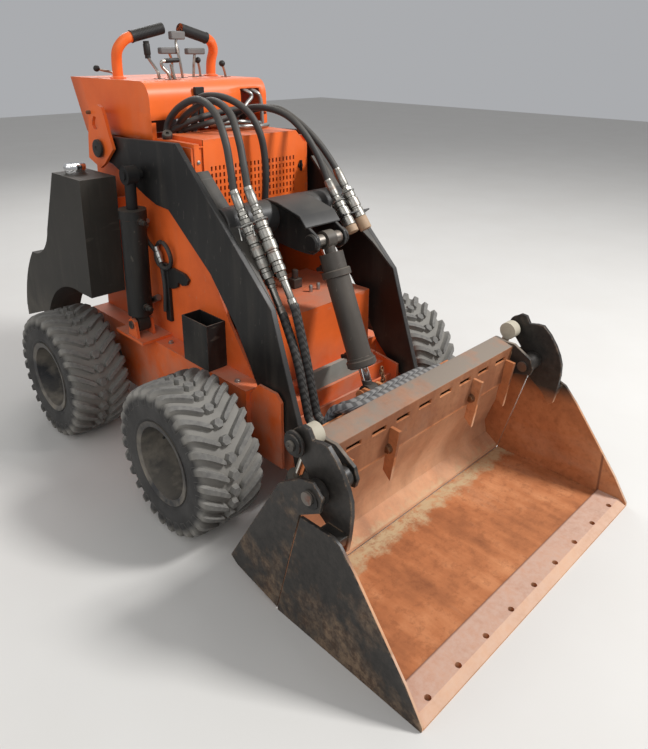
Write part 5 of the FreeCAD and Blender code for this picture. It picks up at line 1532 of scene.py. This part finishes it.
@dataclass
class Fastenings:
    """Pivot carriers, bolts, chain, the side plate's fittings and box, and what stands on the tray."""

    def build(self, shop: Workshop) -> None:
        """Builds every small part."""
        self.bolts(shop)
        self.lugs(shop)
        self.chain(shop)
        self.side_hook(shop)
        self.side_box(shop)
        self.tray(shop)

    def bolts(self, shop: Workshop) -> None:
        """Hexagon bolts on the wheel rails and the caps of the arms' pivots."""
        heads = [(s * x, y, 0.430) for s in (-1, 1) for x, y in ((0.310, -0.181), (0.310, 0.050), (0.300, 0.240))]
        shop.piece("rail_bolts", [stamp(hex_bolt(0.017), heads, (0, 0, 1))], "zinc", "chassis")
        pins = [stamp(button(0.034, 0.010), [(s * 0.326, 0.602, 1.122)], (s, 0, 0)) for s in (-1, 1)]
        shop.piece("pivot_caps", pins, "black_parts", "chassis")

    LUG = [(0.705, 1.076), (0.692, 1.157), (0.670, 1.235), (0.652, 1.262), (0.624, 1.277), (0.591, 1.281),
           (0.565, 1.273), (0.551, 1.247), (0.530, 1.186), (0.506, 1.127), (0.580, 1.066), (0.619, 1.045)]
    HOLE = [(0.632, 1.238), (0.645, 1.220), (0.648, 1.204), (0.638, 1.192), (0.621, 1.189), (0.606, 1.195),
            (0.600, 1.208), (0.605, 1.224), (0.616, 1.236)]

    def lugs(self, shop: Workshop) -> None:
        """The pivot carriers: plates with a rounded tip and an eye, closed towards the frame by a web."""
        plates = twins(self.LUG, 0.306, 0.318)
        webs = [block((min(s * 0.262, s * 0.306), 0.672, 1.085), (max(s * 0.262, s * 0.306), 0.686, 1.235))
                for s in (-1, 1)]
        made = shop.piece("lug_plates", plates + webs, "orange_enamel", "chassis")
        cut_out(made, merge([slab(self.HOLE, s * 0.312 - 0.02, s * 0.312 + 0.02) for s in (-1, 1)]))
        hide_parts("pivot_lugs")
        rods = [lathe([(0.262, 0.007), (0.330, 0.007), (0.333, 0.005)], (0, 0.655, 1.250), (s, 0, 0), 18)
                for s in (-1, 1)]
        shop.piece("lug_rods", rods, "rusty_steel", "chassis")

    def chain(self, shop: Workshop) -> None:
        """The short rusty safety chain beside the tilt rod: links turned by a quarter from one to the next."""
        top, low = np.array([0.062, -0.494, 0.464]), np.array([0.054, -0.512, 0.392])
        count = 7
        t = np.linspace(0, 2 * math.pi, 20, endpoint=False)
        links = []
        for number, share in enumerate((np.arange(count) + 0.5) / count):
            u, v, w = axes_of(low - top)
            flat = u if number % 2 else v
            spot = top + (low - top) * share + 0.004 * math.sin(number * 1.7) * u
            ring = spot + 0.0062 * np.cos(t)[:, None] * flat + 0.0092 * np.sin(t)[:, None] * w
            links.append(tube(np.vstack([ring, ring[:2]]), 0.0027, 8))
        shop.piece("safety_chain", links, "rusty_steel", "bucket")

    def side_hook(self, shop: Workshop) -> None:
        """The flat hook plate, the bar, and the hose loop with its bright fittings on the right-hand side plate."""
        hook = slab([(0.262, 0.712), (0.235, 0.722), (0.160, 0.716), (0.134, 0.699), (0.150, 0.676), (0.176, 0.668),
                     (0.206, 0.676), (0.210, 0.654), (0.240, 0.640), (0.282, 0.636)], -0.274, -0.2625)
        shop.piece("side_hook", [hook], "black_parts", "chassis", bevel=0.0015)
        t = np.linspace(0.55 * math.pi, 2.4 * math.pi, 30)
        loop = np.stack([-0.280 + 0.003 * np.sin(2 * t), 0.280 + 0.050 * np.cos(t), 0.763 + 0.050 * np.sin(t)], -1)
        feed = smooth_path([(-0.284, 0.400, 0.836), (-0.286, 0.372, 0.800), (-0.282, 0.330, 0.770),
                            (-0.280, 0.300, 0.730), (-0.280, 0.286, 0.640), (-0.282, 0.292, 0.540)], 6)
        shop.piece("side_hose", [tube(loop, 0.008, 12), tube(feed, 0.008, 12)], "hose_rubber", "chassis")
        shop.piece("side_bar", [block((-0.276, 0.268, 0.500), (-0.2625, 0.300, 0.730))], "black_parts", "chassis",
                   bevel=0.002)
        fit = [sleeves(np.array([(-0.284, 0.368, 0.880), (-0.284, 0.415, 0.828)]),
                       [(0, 0.3, 0.012), (0.3, 0.6, 0.015), (0.6, 1, 0.011)]),
               sleeves(np.array([(-0.286, 0.316, 0.790), (-0.284, 0.290, 0.735)]),
                       [(0, 0.3, 0.010), (0.3, 0.7, 0.013), (0.7, 1, 0.010)]),
               sleeves(np.array([(-0.300, 0.440, 0.530), (-0.284, 0.330, 0.586)]),
                       [(0, 0.25, 0.014), (0.25, 0.6, 0.011), (0.6, 1, 0.013)])]
        shop.piece("side_fittings", fit, "zinc", "chassis")

    def side_box(self, shop: Workshop) -> None:
        """The open black box on the right-hand side plate: four walls and a floor of thin sheet."""
        x, y, z = (-0.3395, -0.2624), (-0.060, 0.090), (0.4305, 0.600)
        t = 0.004
        walls = [block((x[0], y[0], z[0]), (x[0] + t, y[1], z[1])), block((x[1] - t, y[0], z[0]), (x[1], y[1], z[1])),
                 block((x[0] + t, y[0], z[0]), (x[1] - t, y[0] + t, z[1])),
                 block((x[0] + t, y[1] - t, z[0]), (x[1] - t, y[1], z[1])),
                 block((x[0] + t, y[0] + t, z[0]), (x[1] - t, y[1] - t, z[0] + t))]
        made = shop.piece("side_pocket", walls, "black_parts", "chassis", bevel=0.0008)
        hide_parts("side_box")

    def tray(self, shop: Workshop) -> None:
        """The square fitting and two lift pins on the tray in front of the hood."""
        shells = [block((0.046, -0.076, 0.640), (0.086, -0.038, 0.676)),
                  lathe([(0.0, 0.012), (0.03, 0.012), (0.034, 0.009)], (0.066, -0.057, 0.676), (0, 0, 1), 20)]
        shop.piece("tray_fitting", shells, "cast_grey", "chassis", bevel=0.003)
        pins = [lathe([(0.0, 0.007), (0.022, 0.007), (0.026, 0.005)], (x, -0.134, 0.640), (0, 0, 1), 16)
                for x in (0.074, 0.112)]
        shop.piece("tray_pins", pins, "zinc", "chassis")


@dataclass
class CylinderTrim:
    """Collars, ports and unions of the cylinders."""

    def ports(self, base: tuple[float, float, float], tip: tuple[float, float, float], radius: float,
              out: tuple[float, float, float], spots: tuple[float, ...]) -> list[Shell]:
        """Threaded bosses with a hexagon union, standing out from a barrel at distances from its base pin."""
        line = unit(np.array(tip) - np.array(base))
        shells = []
        for spot in spots:
            foot = np.array(base) + line * spot + np.array(out) * (radius - 0.004)
            shells.append(lathe([(0, 0.014), (0.012, 0.014)], tuple(foot), out, 20))
            shells.append(lathe([(0.012, 0.0125), (0.026, 0.0125), (0.028, 0.010)], tuple(foot), out, 6))
            shells.append(lathe([(0.028, 0.008), (0.044, 0.008)], tuple(foot), out, 14))
        return shells

    def build(self, shop: Workshop) -> None:
        """Builds the trim of the lift cylinders and the tilt cylinder."""
        for side in Side:
            s = side.value
            ports = self.ports((s * 0.345, 0.370, 0.490), (s * 0.345, 0.352, 1.056), 0.046, (0, -1, 0), (0.075, 0.405))
            shop.piece(f"lift_ports_{side.word}", ports, "black_parts", f"lift_tube_{side.word}")
        base = np.array([0.0, -0.290, 0.885])
        line = unit(np.array([0.0, -0.498, 0.395]) - base)
        rings = [lathe([(a, 0.046), (a + 0.003, r), (b - 0.003, r), (b, 0.040)], tuple(base), tuple(line), 40)
                 for a, b, r in ((0.104, 0.130, 0.0495), (0.414, 0.438, 0.0505))]
        shop.piece("tilt_collars", rings, "barrel_enamel", "tilt_tube")
        shop.piece("tilt_ports", self.ports((0, -0.290, 0.885), (0, -0.498, 0.395), 0.045, (0, 0.92, -0.39),
                                            (0.09, 0.40)), "black_parts", "tilt_tube")


class Loader:
    """The whole machine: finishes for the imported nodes, then every added piece in order."""

    NODE_FINISH = {
        "orange_worn": ("main_frame", "front_box", "pivot_lugs", "lift_bases"),
        "orange_enamel": ("hood", "console", "handles"),
        "black_enamel": ("lift_arms",),
        "tank_skin": ("tank_pods",),
        "black_parts": ("step_platform", "side_box", "wheel_hubs", "engine_block", "lift_right_barrel",
                        "lift_left_barrel", "jaw_right_barrel", "jaw_left_barrel"),
        "barrel_enamel": ("tilt_barrel",),
        "rim_enamel": ("rim_front_right", "rim_front_left", "rim_rear_right", "rim_rear_left"),
        "bar_grey": ("cross_bar",),
        "bucket_plate": ("bucket_back", "bucket_jaw", "attach_plate"),
        "pin_steel": ("frame_pins", "tilt_top_pin", "bucket_pins", "hinge_pins"),
        "chrome": ("filler_caps", "levers"),
        "lift_rod_chrome": ("lift_right_rod", "lift_left_rod"),
        "tilt_rod_chrome": ("tilt_rod",),
        "jaw_rod_chrome": ("jaw_right_rod", "jaw_left_rod"),
        "pad_vinyl": ("thigh_pad",),
        "tyre_front": ("tyre_front_right", "tyre_front_left"),
        "tyre_rear": ("tyre_rear_right", "tyre_rear_left"),
    }

    def __init__(self, shop: Workshop) -> None:
        """Keeps the workshop."""
        self.shop = shop

    def build(self) -> None:
        """Dresses the nodes and builds the pieces."""
        for finish, nodes in self.NODE_FINISH.items():
            self.shop.dress(finish, *nodes)
        for part in (Wheels(), Controls(), Housing(), LiftArms(), Bucket(), Hoses(), Fastenings(), CylinderTrim()):
            part.build(self.shop)
            log.info("done: %s", type(part).__name__)


def corners() -> list[list[float]]:
    """The shown object's low and high corners as plain lists."""
    return [list(corner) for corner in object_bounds()]


def main() -> None:
    """Loads the frame and builds everything on it."""
    logging.basicConfig(level=logging.INFO, format="%(name)s: %(message)s")
    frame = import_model()
    finishes = Finishes()
    Stage().build(finishes)
    Loader(Workshop(frame, finishes)).build()


if __name__ == "__main__":
    main()
